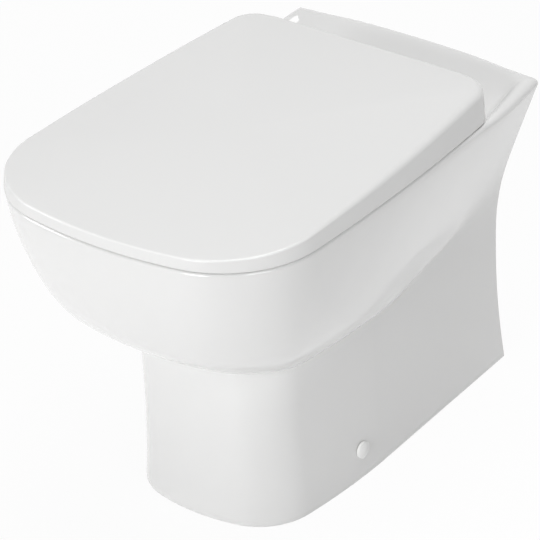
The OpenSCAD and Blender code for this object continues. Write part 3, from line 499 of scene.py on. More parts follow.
def bowl_ring(t, depth, drop):
    """A ring of the bowl's side. drop is the depth under the edge, or None for the rim's radius."""
    half = []
    for i, point in enumerate(RIM):
        low = pedestal_point(i, crease_z(i), depth)
        high = inset(point, depth, depth)
        under = rim_radius(high[0], high[1]) if drop is None else drop
        top = edge_z(high[0], high[1]) - under
        g = sweep(i, t)
        z = mix(low[2] + depth, top, t)
        stands_out = crease_fillet(i, z) - crease_fillet(i, crease_z(i)) * (1 - g)
        x, y, _ = inset((mix(low[0], high[0], g), mix(low[1], high[1], g), point[2]), -stands_out, 0)
        half.append((x, y, z))
    ring = with_back(half)
    for k in range(len(RIM), len(RIM) + BACK_STEPS - 1):
        x, y, _ = ring[k]
        under = rim_radius(x, 0.0) if drop is None else drop
        ring[k] = (x, y, mix(CREASE_BACK + depth, edge_z(x, 0.0) - under, t))
    return ring


def rim_ring(share_in, share_down):
    """A ring on the rim's rounding, as shares of its radius inwards and down."""
    half = []
    for x, y, a in RIM:
        radius = rim_radius(x, y)
        half.append(inset((x, y, a), radius * share_in, radius * share_in))
    ring = []
    for k, (x, y, _) in enumerate(with_back(half)):
        radius = rim_radius(x, y)
        if len(RIM) <= k < len(RIM) + BACK_STEPS - 1:
            y = -radius * share_in
        ring.append((x, y, edge_z(x, y) - radius * share_down))
    return ring


# The bowl's inside, as shares: of its depth, from the bottom up, then in from the front and the
# back, of its length, and in from the sides, of its half width
BOWL_LEVELS = [
    [0.8, 0.016, 0.006, 0.031],
    [0.715, 0.06, 0.022, 0.102],
    [0.65, 0.133, 0.041, 0.188],
    [0.605, 0.229, 0.063, 0.281],
    [0.57, 0.33, 0.086, 0.367],
    [0.51, 0.39, 0.108, 0.445],
    [0.41, 0.438, 0.137, 0.539],
    [0.305, 0.47, 0.156, 0.602],
    [0.18, 0.508, 0.175, 0.672],
    [0.07, 0.546, 0.203, 0.75],
    [0.02, 0.59, 0.267, 0.852],
]
BOWL_LENGTH = BOWL_FRONT - BOWL_BACK
SUMP_Y = -BOWL_BACK - BOWL_LENGTH * (1 + BOWL_LEVELS[-1][2] - BOWL_LEVELS[-1][1]) / 2
SUMP_Z = DIP_Z - TRAP_R
SUMP_LEVEL, SUMP_GROW = 6, 3
LAST_LEVEL = len(BOWL_LEVELS) - 1
BOWL_WALL_TOP = LEDGE_FLOOR - 6
BOWL_FLOOR_RUN = 60


def bowl_level(k, depth):
    """A ring of the bowl at place k down its levels; depth grows it by the wall."""
    share, front, back, side = between(BOWL_LEVELS, k)
    z = mix(SUMP_Z, RIM_FRONT_Z, share)
    points = oval(
        BOWL_FRONT - front * BOWL_LENGTH + depth,
        BOWL_BACK + back * BOWL_LENGTH - depth,
        BOWL_HALF * (1 - side) + depth,
        BOWL_OVAL,
        RING_COUNT,
    )
    drop = depth * smooth((BOWL_WALL_TOP - z) / BOWL_FLOOR_RUN)
    return [(x, y, z - drop) for x, y in points]


def mouth_oval(grow):
    return oval(BOWL_FRONT + grow, BOWL_BACK - grow, BOWL_HALF + grow, BOWL_OVAL, RING_COUNT)


def blend_rings(first, last, t):
    """The points x, y of a ring at t between two rings."""
    return [(mix(a[0], b[0], t), mix(a[1], b[1], t)) for a, b in zip(first, last)]


def pan_body(bm):
    """The ceramic's two skins as one closed loft, from the sump out and back in."""
    mouth, lip, under_lip = mouth_oval(0), mouth_oval(LIP_WIDTH), mouth_oval(PAN_WALL)
    # Up the bowl, round its lip, out over the top, and down the outside to the foot
    rings = [bowl_level(k, 0) for k in steps(44, LAST_LEVEL, 0)]
    for turn in (90, 72, 54, 36, 18):
        drop = LIP_RADIUS * (1 - cosd(turn))
        rings.append([(x, y, top_z(x, y) - drop) for x, y in blend_rings(lip, mouth, sind(turn))])
    edge = rim_ring(1.0, 0.0)
    for t in steps(36, 1.0, 0.0):
        rings.append([(x, y, top_z(x, y)) for x, y in blend_rings(edge, lip, t)])
    rings += [rim_ring(1 - cosd(turn), 1 - sind(turn)) for turn in (78, 66, 54, 42, 30, 20, 10)]
    rings += [bowl_ring(t**2, 0, None) for t in steps(43, 1, 1 / 44)]
    rings += [pedestal_ring(level, 0) for level in steps(24, 1.0, 0.035)]
    for turn in (15, 40, 65, 90):
        rings.append(pedestal_ring(0, 0, FOOT_ROUND * (1 - cosd(turn)), FOOT_ROUND * (1 - sind(turn))))
    # Back up inside the walls, under the top, and down round the outside of the bowl
    rings += [pedestal_ring(level, PAN_WALL) for level in (0, 0.12, 0.25, 0.4, 0.55, 0.7, 0.85, 1)]
    for t in (0.01, 0.03, 0.08, 0.14, 0.2, 0.3, 0.4, 0.5, 0.65, 0.8, 1):
        rings.append(bowl_ring(t, PAN_WALL, LEDGE_WALL))
    roof = rings[-1]
    for t in steps(14, 1 / 14, 13 / 14):
        rings.append([(x, y, top_z(x, y) - LEDGE_WALL) for x, y in blend_rings(roof, under_lip, t)])
    rings.append([(x, y, BOWL_WALL_TOP) for x, y in under_lip])
    rings += [bowl_level(k, PAN_WALL) for k in steps(26, 0, LAST_LEVEL)]
    first, final = loft(bm, rings)
    close_at(bm, first, (0, SUMP_Y, SUMP_Z))
    close_at(bm, final, (0, SUMP_Y, SUMP_Z - PAN_WALL))


def sump_core(bm):
    """The sump's inside, grown a little, so that the trap's tube starts inside its wall."""
    first, final = loft(bm, [bowl_level(k, SUMP_GROW) for k in steps(12, SUMP_LEVEL, LAST_LEVEL)])
    top = mix(SUMP_Z, RIM_FRONT_Z, BOWL_LEVELS[SUMP_LEVEL][0])
    close_at(bm, first, (0, SUMP_Y, top + SUMP_GROW))
    close_at(bm, final, (0, SUMP_Y, SUMP_Z - SUMP_GROW))


def trap_path():
    """Points of the trap's centre line and its heading above the level, up to the spigot."""
    leg = (OUTLET_Z - DIP_Z - 2 * TRAP_BEND * (1 - cosd(TRAP_ANGLE))) / sind(TRAP_ANGLE)
    dip_y, angles = SUMP_Y + DIP_RUN, steps(TRAP_STEPS, 0, TRAP_ANGLE)
    path = [(SUMP_Y + TRAP_START, DIP_Z, 0.0)]
    path += [(dip_y + TRAP_BEND * sind(a), DIP_Z + TRAP_BEND * (1 - cosd(a)), a) for a in angles]
    end_y = path[-1][0] + leg * cosd(TRAP_ANGLE) + TRAP_BEND * sind(TRAP_ANGLE)
    for a in reversed(angles):
        path.append((end_y - TRAP_BEND * sind(a), OUTLET_Z - TRAP_BEND * (1 - cosd(a)), a))
    return path


def pipe(bm, path, count=64):
    """A closed pipe through (y, z, heading, radius) rows, by loft of its round sections."""
    angles = [360 * k / count for k in range(count)]
    rings = [
        [(r * cosd(a), y - r * sind(a) * sind(heading), z + r * sind(a) * cosd(heading)) for a in angles]
        for y, z, heading, r in path
    ]
    first, final = loft(bm, rings)
    close_at(bm, first, (0, path[0][0], path[0][1]))
    close_at(bm, final, (0, path[-1][0], path[-1][1]))


def waterway_outside(bm):
    """The trap's wall, its flare and the spigot with two sealing ridges and a rounded end."""
    radius = TRAP_R + TRAP_WALL
    path = [(y, z, a, radius) for y, z, a in trap_path()]
    path += [
        (SPIGOT_START - SPIGOT_TAPER * (1 - t), OUTLET_Z, 0, mix(radius, SPIGOT_R, smooth(t)))
        for t in steps(8)
    ]
    for place in RIDGE_PLACES:
        path += [
            (SPIGOT_START + place + shift, OUTLET_Z, 0, SPIGOT_R - drop) for shift, drop in RIDGE_SECTION
        ]
    for a in (0, 30, 60, 90):
        y = SPIGOT_END - SPIGOT_ROUND * (1 - sind(a))
        path.append((y, OUTLET_Z, 0, SPIGOT_R - SPIGOT_ROUND * (1 - cosd(a))))
    pipe(bm, path)


def waterway_inside(bm):
    """The waterway through the trap, which widens to the spigot's bore."""
    path = [(y, z, a, TRAP_R) for y, z, a in trap_path()]
    path += [
        (SPIGOT_START - SPIGOT_BORE_TAPER, OUTLET_Z, 0, TRAP_R),
        (SPIGOT_START + SPIGOT_BORE_TAPER, OUTLET_Z, 0, SPIGOT_BORE_R),
        (SPIGOT_END + CUT_THROUGH, OUTLET_Z, 0, SPIGOT_BORE_R),
    ]
    pipe(bm, path)


def flush_inside(bm):
    """The flush inlet, chamfered at the wall, and the narrower channel on into the bowl."""
    path = [
        (-BOWL_BACK - CHANNEL_PAST, INLET_Z, 0, CHANNEL_R),
        (-INLET_DEPTH, INLET_Z, 0, CHANNEL_R),
        (-INLET_DEPTH, INLET_Z, 0, INLET_R),
        (CUT_PAST - INLET_CHAMFER, INLET_Z, 0, INLET_R),
        (CUT_PAST, INLET_Z, 0, INLET_R + INLET_CHAMFER),
    ]
    pipe(bm, path)


def service_opening(bm):
    """The opening in the back, round the outlet."""
    x, z, r = SERVICE_HALF, SERVICE_TOP, SERVICE_RADIUS
    outline = [(x, -CUT_THROUGH)]
    outline += [(x - r * (1 - cosd(a)), z - r * (1 - sind(a))) for a in steps(12, 0, 90)]
    outline += [(-x, z) for x, z in reversed(outline)]
    ends = (CUT_PAST, -PAN_WALL - CUT_THROUGH)
    first, final = loft(bm, [[(x, y, z) for x, z in outline] for y in ends])
    for verts in (first, final):
        bmesh.ops.contextual_create(bm, geom=verts)


HINGE_SPACING = corner("hinge_plate_right", 0).x + corner("hinge_plate_right", 1).x
SIDE_SCREW = (corner("cap_right", 0) + corner("cap_right", 1)) / 2
FIXING_HOLE_R, SIDE_HOLE_R = 8, 4.5
SIDE_CUT_IN, SIDE_CUT_OUT = 30, 20


def fixing_holes(bm):
    """The hinge's holes through the ledge and the screws' holes through the pedestal's sides."""
    for side in (-1, 1):
        x, low, high = side * HINGE_SPACING / 2, LEDGE_FLOOR - 2 * LEDGE_WALL, LEDGE_FLOOR + LEDGE_WALL
        cylinder(bm, (x, HINGE.y, low), (x, HINGE.y, high), FIXING_HOLE_R)
        start, end = side * (FOOT_HALF - SIDE_CUT_IN), side * (FOOT_HALF + SIDE_CUT_OUT)
        cylinder(bm, (start, *SIDE_SCREW.yz), (end, *SIDE_SCREW.yz), SIDE_HOLE_R)


def tool(name, *makers):
    """A temporary object for combine()."""
    bm = bmesh.new()
    for maker in makers:
        maker(bm)
    return new_piece(name, bm)


def inlet_boss(bm):
    """The thick wall round the flush inlet, from the bowl to the back."""
    cylinder(bm, (0, BOSS_FRONT, INLET_Z), (0, BOSS_BACK, INLET_Z), INLET_R + BOSS_WALL)


class TOILET_OT_pan(bpy.types.Operator):
    """Make the glazed ceramic pan, with its bowl, trap, spigot, flush inlet and open back"""

    bl_idname = "toilet.pan"
    bl_label = "Pan"

    def execute(self, context):
        settings = context.scene.toilet_pan
        bm = bmesh.new()
        pan_body(bm)
        pan = new_piece("glazed_pan", bm, "root")
        trap = tool("trap", waterway_outside)
        combine(trap, tool("sump", sump_core), "DIFFERENCE")
        combine(pan, trap, "UNION")
        combine(pan, tool("boss", inlet_boss), "UNION")
        cuts = tool("cuts", waterway_inside, flush_inside, service_opening, fixing_holes)
        combine(pan, cuts, "DIFFERENCE")
        shade(pan)
        give(pan, glazed_ceramic(settings.glaze_colour, settings.body_colour))
        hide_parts("pan")
        return {"FINISHED"}


# ---- Lid ----

SKIRT_RADIUS = HINGE.z - rim_z(HINGE.y) - LID_GAP
SKIRT_END, SKIRT_LEAST, NOTCH_GAP = 3, 1, 1
PILLAR_WIDTH = 18
RUNNING_GAP = 0.5
KNUCKLE_R = 10
OUTER_KNUCKLE = 20
PILLAR_INNER = HINGE_SPACING / 2 - PILLAR_WIDTH / 2
PILLAR_OUTER = HINGE_SPACING / 2 + PILLAR_WIDTH / 2
DAMPER_R, DAMPER_LENGTH, DAMPER_PLAY = 7.5, 42, 1
PIN_R, PIN_CLEARANCE = 4, 0.08
BARREL_WALL, BARREL_END_WALL, KNUCKLE_END_WALL = 2.9, 4, 3
BARREL_R = DAMPER_R + PIN_CLEARANCE + BARREL_WALL
BARREL_END = PILLAR_INNER - RUNNING_GAP
BARREL_START = BARREL_END - DAMPER_LENGTH - BARREL_END_WALL
OUTER_START = PILLAR_OUTER + RUNNING_GAP
OUTER_END = OUTER_START + OUTER_KNUCKLE
NOTCH_HALF, NOTCH_RUN, NOTCH_DEPTH = OUTER_END + 14, 10, 8
LID_CRISP, LID_SOFT, LID_SOFT_START, LID_SOFT_RUN = 2.5, 8.0, 60, 260
WEB_INSET = 0.2


def skirt_z(point):
    """The skirt's edge: above the rim, round about the hinge axis behind it, and notched."""
    x, y = point[0], point[1]
    behind = max(y - HINGE.y, 0.0)
    swing = HINGE.z - math.sqrt(SKIRT_RADIUS**2 - min(behind, SKIRT_RADIUS - SKIRT_END) ** 2)
    low = swing if behind > 0 else rim_z(y) + LID_GAP
    notch = smooth((NOTCH_HALF + NOTCH_RUN - abs(x)) / NOTCH_RUN) * smooth(behind / NOTCH_DEPTH)
    return mix(low, HINGE.z + KNUCKLE_R + NOTCH_GAP, notch)


def lid_edge_radius(point):
    """The crease is crisp at the front and softer along the sides and the back."""
    softer = smooth((point[1] - LID_FRONT - LID_SOFT_START) / LID_SOFT_RUN)
    room = LID_CREASE_Z - skirt_z(point) - LID_HEM - SKIRT_LEAST
    return min(mix(LID_CRISP, LID_SOFT, softer), room)


def crown_z(t):
    return LID_CREASE_Z + LID_CROWN * (1 - (1 - t) ** 2)


def lid_shell(bm):
    """The lid's outside, from its middle down to the hem, and its inside back up."""
    outline = lid_outline(0, LID_BACK, LID_BACK_CORNER)
    inner = LID_LEAN + LID_WALL

    def ring(depth, height):
        """The outline pulled in by depth(point), at height(point)."""
        return [(*inset(p, depth(p))[:2], height(p)) for p in outline]

    def crown_ring(t, depth, drop):
        edge = ring(depth, skirt_z)
        return [(x * (1 - t), mix(y, LID_MIDDLE, t), crown_z(t) - drop) for x, y, _ in edge]

    def crease_ring(turn):
        return ring(
            lambda p: LID_LEAN + lid_edge_radius(p) * (1 - cosd(turn)),
            lambda p: LID_CREASE_Z - lid_edge_radius(p) * (1 - sind(turn)),
        )

    def skirt_ring(t):
        return ring(
            lambda p: LID_LEAN * (1 - t),
            lambda p: mix(LID_CREASE_Z - lid_edge_radius(p), skirt_z(p) + LID_HEM, t),
        )

    def hem_ring(turn, start, side):
        return ring(
            lambda p: start + side * LID_HEM * (1 - cosd(turn)),
            lambda p: skirt_z(p) + LID_HEM * (1 - sind(turn)),
        )

    def fillet_ring(turn):
        top = LID_CREASE_Z - LID_WALL
        return ring(
            lambda p: inner + LID_FILLET * (1 - cosd(turn)),
            lambda p: top - LID_FILLET * (1 - sind(turn)),
        )

    rings = []
    for t in steps(20, 0.93, 0.0)[:-1]:
        rings.append(crown_ring(t, lambda p: LID_LEAN + lid_edge_radius(p), 0))
    rings += [crease_ring(turn) for turn in steps(9, 90, 0)]
    rings += [skirt_ring(t) for t in steps(6)[1:]]
    rings += [hem_ring(turn, 0, 1) for turn in (30, 60, 90)]
    rings += [hem_ring(turn, LID_WALL, -1) for turn in (90, 60, 30, 0)]
    rings += [fillet_ring(turn) for turn in steps(5, 0, 90)]
    rings += [crown_ring(t, lambda p: inner + LID_FILLET, LID_WALL) for t in steps(12, 0.05, 0.96)]
    first, final = loft(bm, rings)
    close_at(bm, first, (0, LID_MIDDLE, crown_z(1)))
    close_at(bm, final, (0, LID_MIDDLE, crown_z(1) - LID_WALL))


def lid_knuckles(bm):
    on_axis(bm, OUTER_START, OUTER_END, KNUCKLE_R)
    on_axis(bm, -BARREL_END, -BARREL_START, BARREL_R)


def lid_webs(bm):
    roof = LID_CREASE_Z - LID_WALL / 2
    front, back = HINGE.y - KNUCKLE_R + WEB_INSET, HINGE.y + KNUCKLE_R - WEB_INSET
    block(bm, (OUTER_START, front, HINGE.z), (OUTER_END, back, roof))
    block(bm, (-BARREL_END, front, HINGE.z), (-BARREL_START, back, roof))


def lid_bores(bm):
    on_axis(bm, OUTER_START - CUT_PAST, OUTER_END - KNUCKLE_END_WALL, PIN_R + PIN_CLEARANCE)
    bottom = -BARREL_END + DAMPER_LENGTH + DAMPER_PLAY
    on_axis(bm, -BARREL_END - CUT_PAST, bottom, DAMPER_R + PIN_CLEARANCE)


class TOILET_OT_lid(bpy.types.Operator):
    """Make the wrap-over lid, with its damper barrel and its ear"""

    bl_idname = "toilet.lid"
    bl_label = "Lid"

    def execute(self, context):
        bm = bmesh.new()
        lid_shell(bm)
        lid = new_piece("wrap_over_lid", bm, "lid")
        combine(lid, tool("webs", lid_webs), "UNION")
        combine(lid, tool("knuckles", lid_knuckles), "UNION")
        combine(lid, tool("bores", lid_bores), "DIFFERENCE")
        shade(lid)
        give(lid, moulded_plastic("duroplast", context.scene.toilet_seat.colour, SEAT_ROUGHNESS))
        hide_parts("lid")
        return {"FINISHED"}


# ---- Seat ----


def seat_bottom_z(y):
    return rim_z(y) + SEAT_GAP


def seat_roof_z(y):
    return max(SEAT_TOP - SEAT_WALL, seat_bottom_z(y) + SEAT_CHANNEL)


def seat_ring(bm):
    """The seat's ring: a flat top, round edges and an open channel underneath."""
    back, back_radius = SEAT_BACK + SEAT_INSET, SEAT_BACK_CORNER + SEAT_INSET
    under_lip = -SEAT_LIP / 3

    def outer(depth):
        return [p[:2] for p in lid_outline(SEAT_INSET + depth, back, back_radius)]

    count = len(outer(0))

    def inner(depth):
        front, rear = SEAT_HOLE_FRONT - depth, SEAT_HOLE_BACK + depth
        return oval(front, rear, SEAT_HOLE_HALF - depth, SEAT_OVAL, count)

    def level(points, z):
        return [(x, y, z) for x, y in points]

    def low(points, lift=0.0):
        return [(x, y, seat_bottom_z(y) + lift) for x, y in points]

    def roof(points):
        return [(x, y, seat_roof_z(y)) for x, y in points]

    def outer_edge(turn):
        return level(outer(SEAT_EDGE * (1 - cosd(turn))), SEAT_TOP - SEAT_EDGE * (1 - sind(turn)))

    def inner_edge(turn):
        return level(inner(-SEAT_LIP * (1 - sind(turn))), SEAT_TOP - SEAT_LIP * (1 - cosd(turn)))

    rings = [low(outer(SEAT_BEAD)), low(outer(0), SEAT_BEAD)]
    rings += [outer_edge(turn) for turn in steps(7, 0, 90)]
    for t in steps(8)[1:]:
        rings.append(level(blend_rings(outer(SEAT_EDGE), inner(-SEAT_LIP), t), SEAT_TOP))
    rings += [inner_edge(turn) for turn in steps(7, 12, 84)]
    rings += [low(inner(under_lip), SEAT_BEAD), low(inner(under_lip - SEAT_BEAD))]
    rings += [low(inner(under_lip - SEAT_WALL)), roof(inner(under_lip - SEAT_WALL))]
    rings += [roof(outer(SEAT_WALL)), low(outer(SEAT_WALL))]
    first, final = loft(bm, rings)
    bmesh.ops.bridge_loops(bm, edges=edges_round(bm, first) + edges_round(bm, final))


SEAT_ARM_LOW, SEAT_ARM_TOP = HINGE.z - 6, SEAT_TOP - 4


def seat_arms(bm):
    front, back = SEAT_BACK - SEAT_WALL / 2, HINGE.y
    block(bm, (BARREL_START, front, SEAT_ARM_LOW), (BARREL_END, back, SEAT_ARM_TOP))
    block(bm, (-OUTER_END, front, SEAT_ARM_LOW), (-OUTER_START, back, SEAT_ARM_TOP))


def seat_knuckles(bm):
    on_axis(bm, BARREL_START, BARREL_END, BARREL_R)
    on_axis(bm, -OUTER_END, -OUTER_START, KNUCKLE_R)


def seat_bores(bm):
    bottom = BARREL_END - DAMPER_LENGTH - DAMPER_PLAY
    on_axis(bm, bottom, BARREL_END + CUT_PAST, DAMPER_R + PIN_CLEARANCE)
    on_axis(bm, -OUTER_END + KNUCKLE_END_WALL, -OUTER_START + CUT_PAST, PIN_R + PIN_CLEARANCE)


class TOILET_OT_seat(bpy.types.Operator):
    """Make the seat ring, with its damper barrel and its ear"""

    bl_idname = "toilet.seat"
    bl_label = "Seat"

    def execute(self, context):
        bm = bmesh.new()
        seat_ring(bm)
        seat = new_piece("seat_ring", bm, "seat")
        combine(seat, tool("arms", seat_arms), "UNION")
        combine(seat, tool("knuckles", seat_knuckles), "UNION")
        combine(seat, tool("bores", seat_bores), "DIFFERENCE")
        shade(seat)
        give(seat, moulded_plastic("duroplast", context.scene.toilet_seat.colour, SEAT_ROUGHNESS))
        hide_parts("seat")
        return {"FINISHED"}


# ---- Materials ----


SEAT_ROUGHNESS = 0.16
RELIEF_HEIGHT = 0.4 * MM
# Heights over which the glaze ends and the bare body starts, at the foot
BARE_LOW, BARE_HIGH = 0.4 * MM, 1.2 * MM
BARE_ROUGHNESS = 0.75


def give(piece, material):
    """Gives a new piece its material, or a CAD node by its slots."""
    if not piece.material_slots:
        piece.data.materials.append(material)
    for place in piece.material_slots:
        place.material = material


def wire(links, *wires):
    """Makes links, each given as (node, output, node, input)."""
    for source, output, target, into in wires:
        links.new(source.outputs[output], target.inputs[into])


def set_inputs(node, values):
    for name, value in values.items():
        node.inputs[name].default_value = value


def surface_group():
    """Mottle: two colours and two roughnesses mixed by cloudy noise, and a fine height."""
    group = bpy.data.node_groups.get("surface_mottle")
    if group:
        return group
    group = bpy.data.node_groups.new("surface_mottle", "ShaderNodeTree")
    sockets = {
        "INPUT": {
            "Vector": ("Vector",),
            "Color": ("Light Colour", "Dark Colour"),
            "Float": ("Cloud Scale", "Fine Scale", "Low Roughness", "High Roughness"),
        },
        "OUTPUT": {"Color": ("Colour",), "Float": ("Roughness", "Height")},
    }
    for way, kinds in sockets.items():
        for kind, names in kinds.items():
            for name in names:
                group.interface.new_socket(name, in_out=way, socket_type=f"NodeSocket{kind}")
    nodes = group.nodes
    given, result = nodes.new("NodeGroupInput"), nodes.new("NodeGroupOutput")
    cloud, fine = nodes.new("ShaderNodeTexNoise"), nodes.new("ShaderNodeTexNoise")
    cloud.inputs["Detail"].default_value = 3.0
    fine.inputs["Detail"].default_value = 2.0
    mixer = nodes.new("ShaderNodeMix")
    mixer.data_type = "RGBA"
    spread = nodes.new("ShaderNodeMapRange")
    wire(
        group.links,
        (given, "Vector", cloud, "Vector"),
        (given, "Cloud Scale", cloud, "Scale"),
        (given, "Vector", fine, "Vector"),
        (given, "Fine Scale", fine, "Scale"),
        (cloud, "Fac", mixer, "Factor"),
        (given, "Light Colour", mixer, "A"),
        (given, "Dark Colour", mixer, "B"),
        (cloud, "Fac", spread, "Value"),
        (given, "Low Roughness", spread, "To Min"),
        (given, "High Roughness", spread, "To Max"),
        (mixer, "Result", result, "Colour"),
        (spread, "Result", result, "Roughness"),
        (fine, "Fac", result, "Height"),
    )
    return group


def mottled(name, light, dark, cloud, fine, rough, bump, stretch=(1, 1, 1)):
    """A material whose colour, roughness and bump come from the mottle, or the one already made."""
    material = bpy.data.materials.get(name)
    if material:
        return material, material.node_tree.nodes["Principled BSDF"]
    material = bpy.data.materials.new(name)
    material.use_nodes = True
    nodes = material.node_tree.nodes
    shader = nodes["Principled BSDF"]
    place, mapping = nodes.new("ShaderNodeTexCoord"), nodes.new("ShaderNodeMapping")
    mapping.inputs["Scale"].default_value = stretch
    mottle = nodes.new("ShaderNodeGroup")
    mottle.node_tree = surface_group()
    colours = {"Light Colour": (*light, 1), "Dark Colour": (*dark, 1)}
    scales = {"Cloud Scale": cloud, "Fine Scale": fine}
    set_inputs(mottle, {**colours, **scales, "Low Roughness": rough[0], "High Roughness": rough[1]})
    relief = nodes.new("ShaderNodeBump")
    set_inputs(relief, {"Strength": bump, "Distance": RELIEF_HEIGHT})
    wire(
        material.node_tree.links,
        (place, "Object", mapping, "Vector"),
        (mapping, "Vector", mottle, "Vector"),
        (mottle, "Colour", shader, "Base Color"),
        (mottle, "Roughness", shader, "Roughness"),
        (mottle, "Height", relief, "Height"),
        (relief, "Normal", shader, "Normal"),
    )
    return material, shader


def shaded(colour, share):
    """A colour made darker by a share."""
    return tuple(c * (1 - share) for c in colour)


def glazed_ceramic(glaze, body):
    """White glaze with a soft waver, over a creamy body that shows under the foot."""
    material, shader = mottled("glazed_ceramic", glaze, shaded(glaze, 0.015), 9, 38, (0.1, 0.17), 0.12)
    nodes = material.node_tree.nodes
    if nodes.get("Foot"):
        return material
    set_inputs(shader, {"Coat Weight": 0.6, "Coat Roughness": 0.06})
    place = next(n for n in nodes if n.type == "TEX_COORD")
    mottle = next(n for n in nodes if n.type == "GROUP")
    split = nodes.new("ShaderNodeSeparateXYZ")
    foot = nodes.new("ShaderNodeMapRange")
    foot.name = "Foot"
    set_inputs(foot, {"From Min": BARE_LOW, "From Max": BARE_HIGH, "To Min": 1.0, "To Max": 0.0})
    bare, dull = nodes.new("ShaderNodeMix"), nodes.new("ShaderNodeMix")
    bare.data_type = "RGBA"
    bare.inputs["B"].default_value = (*body, 1)
    dull.inputs["B"].default_value = BARE_ROUGHNESS
    wire(
        material.node_tree.links,
        (place, "Object", split, "Vector"),
        (split, "Z", foot, "Value"),
        (foot, "Result", bare, "Factor"),
        (foot, "Result", dull, "Factor"),
        (mottle, "Colour", bare, "A"),
        (bare, "Result", shader, "Base Color"),
        (mottle, "Roughness", dull, "A"),
        (dull, "Result", shader, "Roughness"),
    )
    return material


def moulded_plastic(name, colour, rough):
    material, shader = mottled(name, colour, shaded(colour, 0.012), 14, 420, (rough, rough + 0.07), 0.05)
    shader.inputs["IOR"].default_value = 1.5
    return material


def bare_metal(name, colour, rough, stretch=(1, 1, 1), bump=0.1):
    dark = shaded(colour, 0.12)
    material, shader = mottled(name, colour, dark, 60, 300, (rough, rough + 0.12), bump, stretch)
    shader.inputs["Metallic"].default_value = 1.0
    return material


def soft_rubber(name, colour):
    material, shader = mottled(name, colour, shaded(colour, 0.25), 50, 700, (0.6, 0.8), 0.3)
    shader.inputs["Specular IOR Level"].default_value = 0.35
    return material


# ---- Small pieces ----


def both(*names):
    """The names of pieces that the toilet has on its left and on its right."""
    return [f"{name}_{side}" for name in names for side in ("left", "right")]


SMALL_PIECES = {
    "chrome": both("hinge_pillar", "hinge_plate", "release_button"),
    "steel": both("pivot_pin", "button_spring", "floor_bracket")
    + ["lid_damper_shaft", "seat_damper_shaft", "fixing_studs", "stud_washers", "stud_nuts", "side_screws"],
    "buffer_rubber": ["seat_buffers", "lid_buffers"],
    "dark_rubber": ["stud_bushes", "inlet_seal"],
    "damper_plastic": ["lid_damper", "seat_damper"],
    "cap_plastic": ["screw_cups"] + both("cap"),
}


class TOILET_OT_fittings(bpy.types.Operator):
    """Finish the hinges, dampers, buttons, buffers, seals, fixings and caps"""

    bl_idname = "toilet.fittings"
    bl_label = "Fittings"

    def execute(self, context):
        settings = context.scene.toilet_fittings
        finishes = {
            "chrome": bare_metal("chrome", settings.chrome_colour, 0.05, bump=0.02),
            "steel": bare_metal("zinc_steel", settings.steel_colour, 0.28, (1, 1, 9), 0.15),
            "buffer_rubber": soft_rubber("clear_buffer", settings.buffer_colour),
            "dark_rubber": soft_rubber("black_rubber", settings.rubber_colour),
            "damper_plastic": moulded_plastic("damper_plastic", settings.damper_colour, 0.35),
            "cap_plastic": moulded_plastic("cap_plastic", settings.cap_colour, 0.3),
        }
        for finish, names in SMALL_PIECES.items():
            for name in names:
                give(frame["nodes"][name], finishes[finish])
        return {"FINISHED"}


# ---- Stage ----

# The camera turns about this point, in millimetres from the wall, and is then shifted sideways and up
CAMERA_TARGET = (0.0, -270.0, 220.0)
CAMERA_SIDE, CAMERA_LIFT = -2.383, -1.056
SENSOR_WIDTH, CLIP_END = 36, 50

# Each lamp's place and size in metres, and the point they are turned to
LAMPS = {
    "top": ((0.3, 0.6, 3.8), 2.8),
    "right": ((3.4, -1.2, 2.4), 2.0),
    "front": ((0.6, -4.2, 1.4), 2.0),
    "left": ((-3.6, -2.8, 1.2), 2.0),
}
LAMP_TARGET = (0, 0, 0.2)
FLOOR_RADIUS, FLOOR_GREY, FLOOR_WHITE = 6.0, 0.8, 0.95


def camera_axes(yaw, pitch, roll):
    """The camera's right, up and forward directions."""
    forward = Vector((-sind(yaw) * cosd(pitch), cosd(yaw) * cosd(pitch), -sind(pitch)))
    level = Vector((cosd(yaw), sind(yaw), 0.0))
    rise = level.cross(forward)
    right = level * cosd(roll) + rise * sind(roll)
    up = rise * cosd(roll) - level * sind(roll)
    return right, up, forward


def make_camera(settings):
    right, up, forward = camera_axes(settings.yaw, settings.pitch, settings.roll)
    data = bpy.data.cameras.new("photo_camera")
    data.sensor_width = SENSOR_WIDTH
    data.lens = settings.lens
    data.clip_end = CLIP_END
    camera = bpy.data.objects.new("photo_camera", data)
    bpy.context.scene.collection.objects.link(camera)
    place = to_frame(CAMERA_TARGET) - forward * settings.distance
    place += (right * CAMERA_SIDE + up * CAMERA_LIFT) * MM
    camera.matrix_world = Matrix.Translation(place) @ Matrix((right, up, -forward)).transposed().to_4x4()
    bpy.context.scene.camera = camera


def make_lamp(name, place, size, watts):
    """A round area lamp at a place in metres, turned to the middle of the object."""
    data = bpy.data.lights.new(name, "AREA")
    data.shape = "DISK"
    data.size = size
    data.energy = watts
    lamp = bpy.data.objects.new(name, data)
    bpy.context.scene.collection.objects.link(lamp)
    away = Vector(place) - Vector(LAMP_TARGET)
    lamp.matrix_world = Matrix.Translation(place) @ away.to_track_quat("Z", "Y").to_matrix().to_4x4()


def white_to_camera(nodes, links, fill):
    """A mask that is fill where a camera, glossy or transmission ray looks, and 0 for other rays."""
    path = nodes.new("ShaderNodeLightPath")
    seen = path.outputs["Is Camera Ray"]
    for ray in ("Is Glossy Ray", "Is Transmission Ray"):
        either = nodes.new("ShaderNodeMath")
        either.operation = "MAXIMUM"
        links.new(seen, either.inputs[0])
        links.new(path.outputs[ray], either.inputs[1])
        seen = either.outputs["Value"]
    scaled = nodes.new("ShaderNodeMath")
    scaled.operation = "MULTIPLY"
    scaled.inputs[1].default_value = fill
    links.new(seen, scaled.inputs[0])
    return scaled.outputs["Value"]


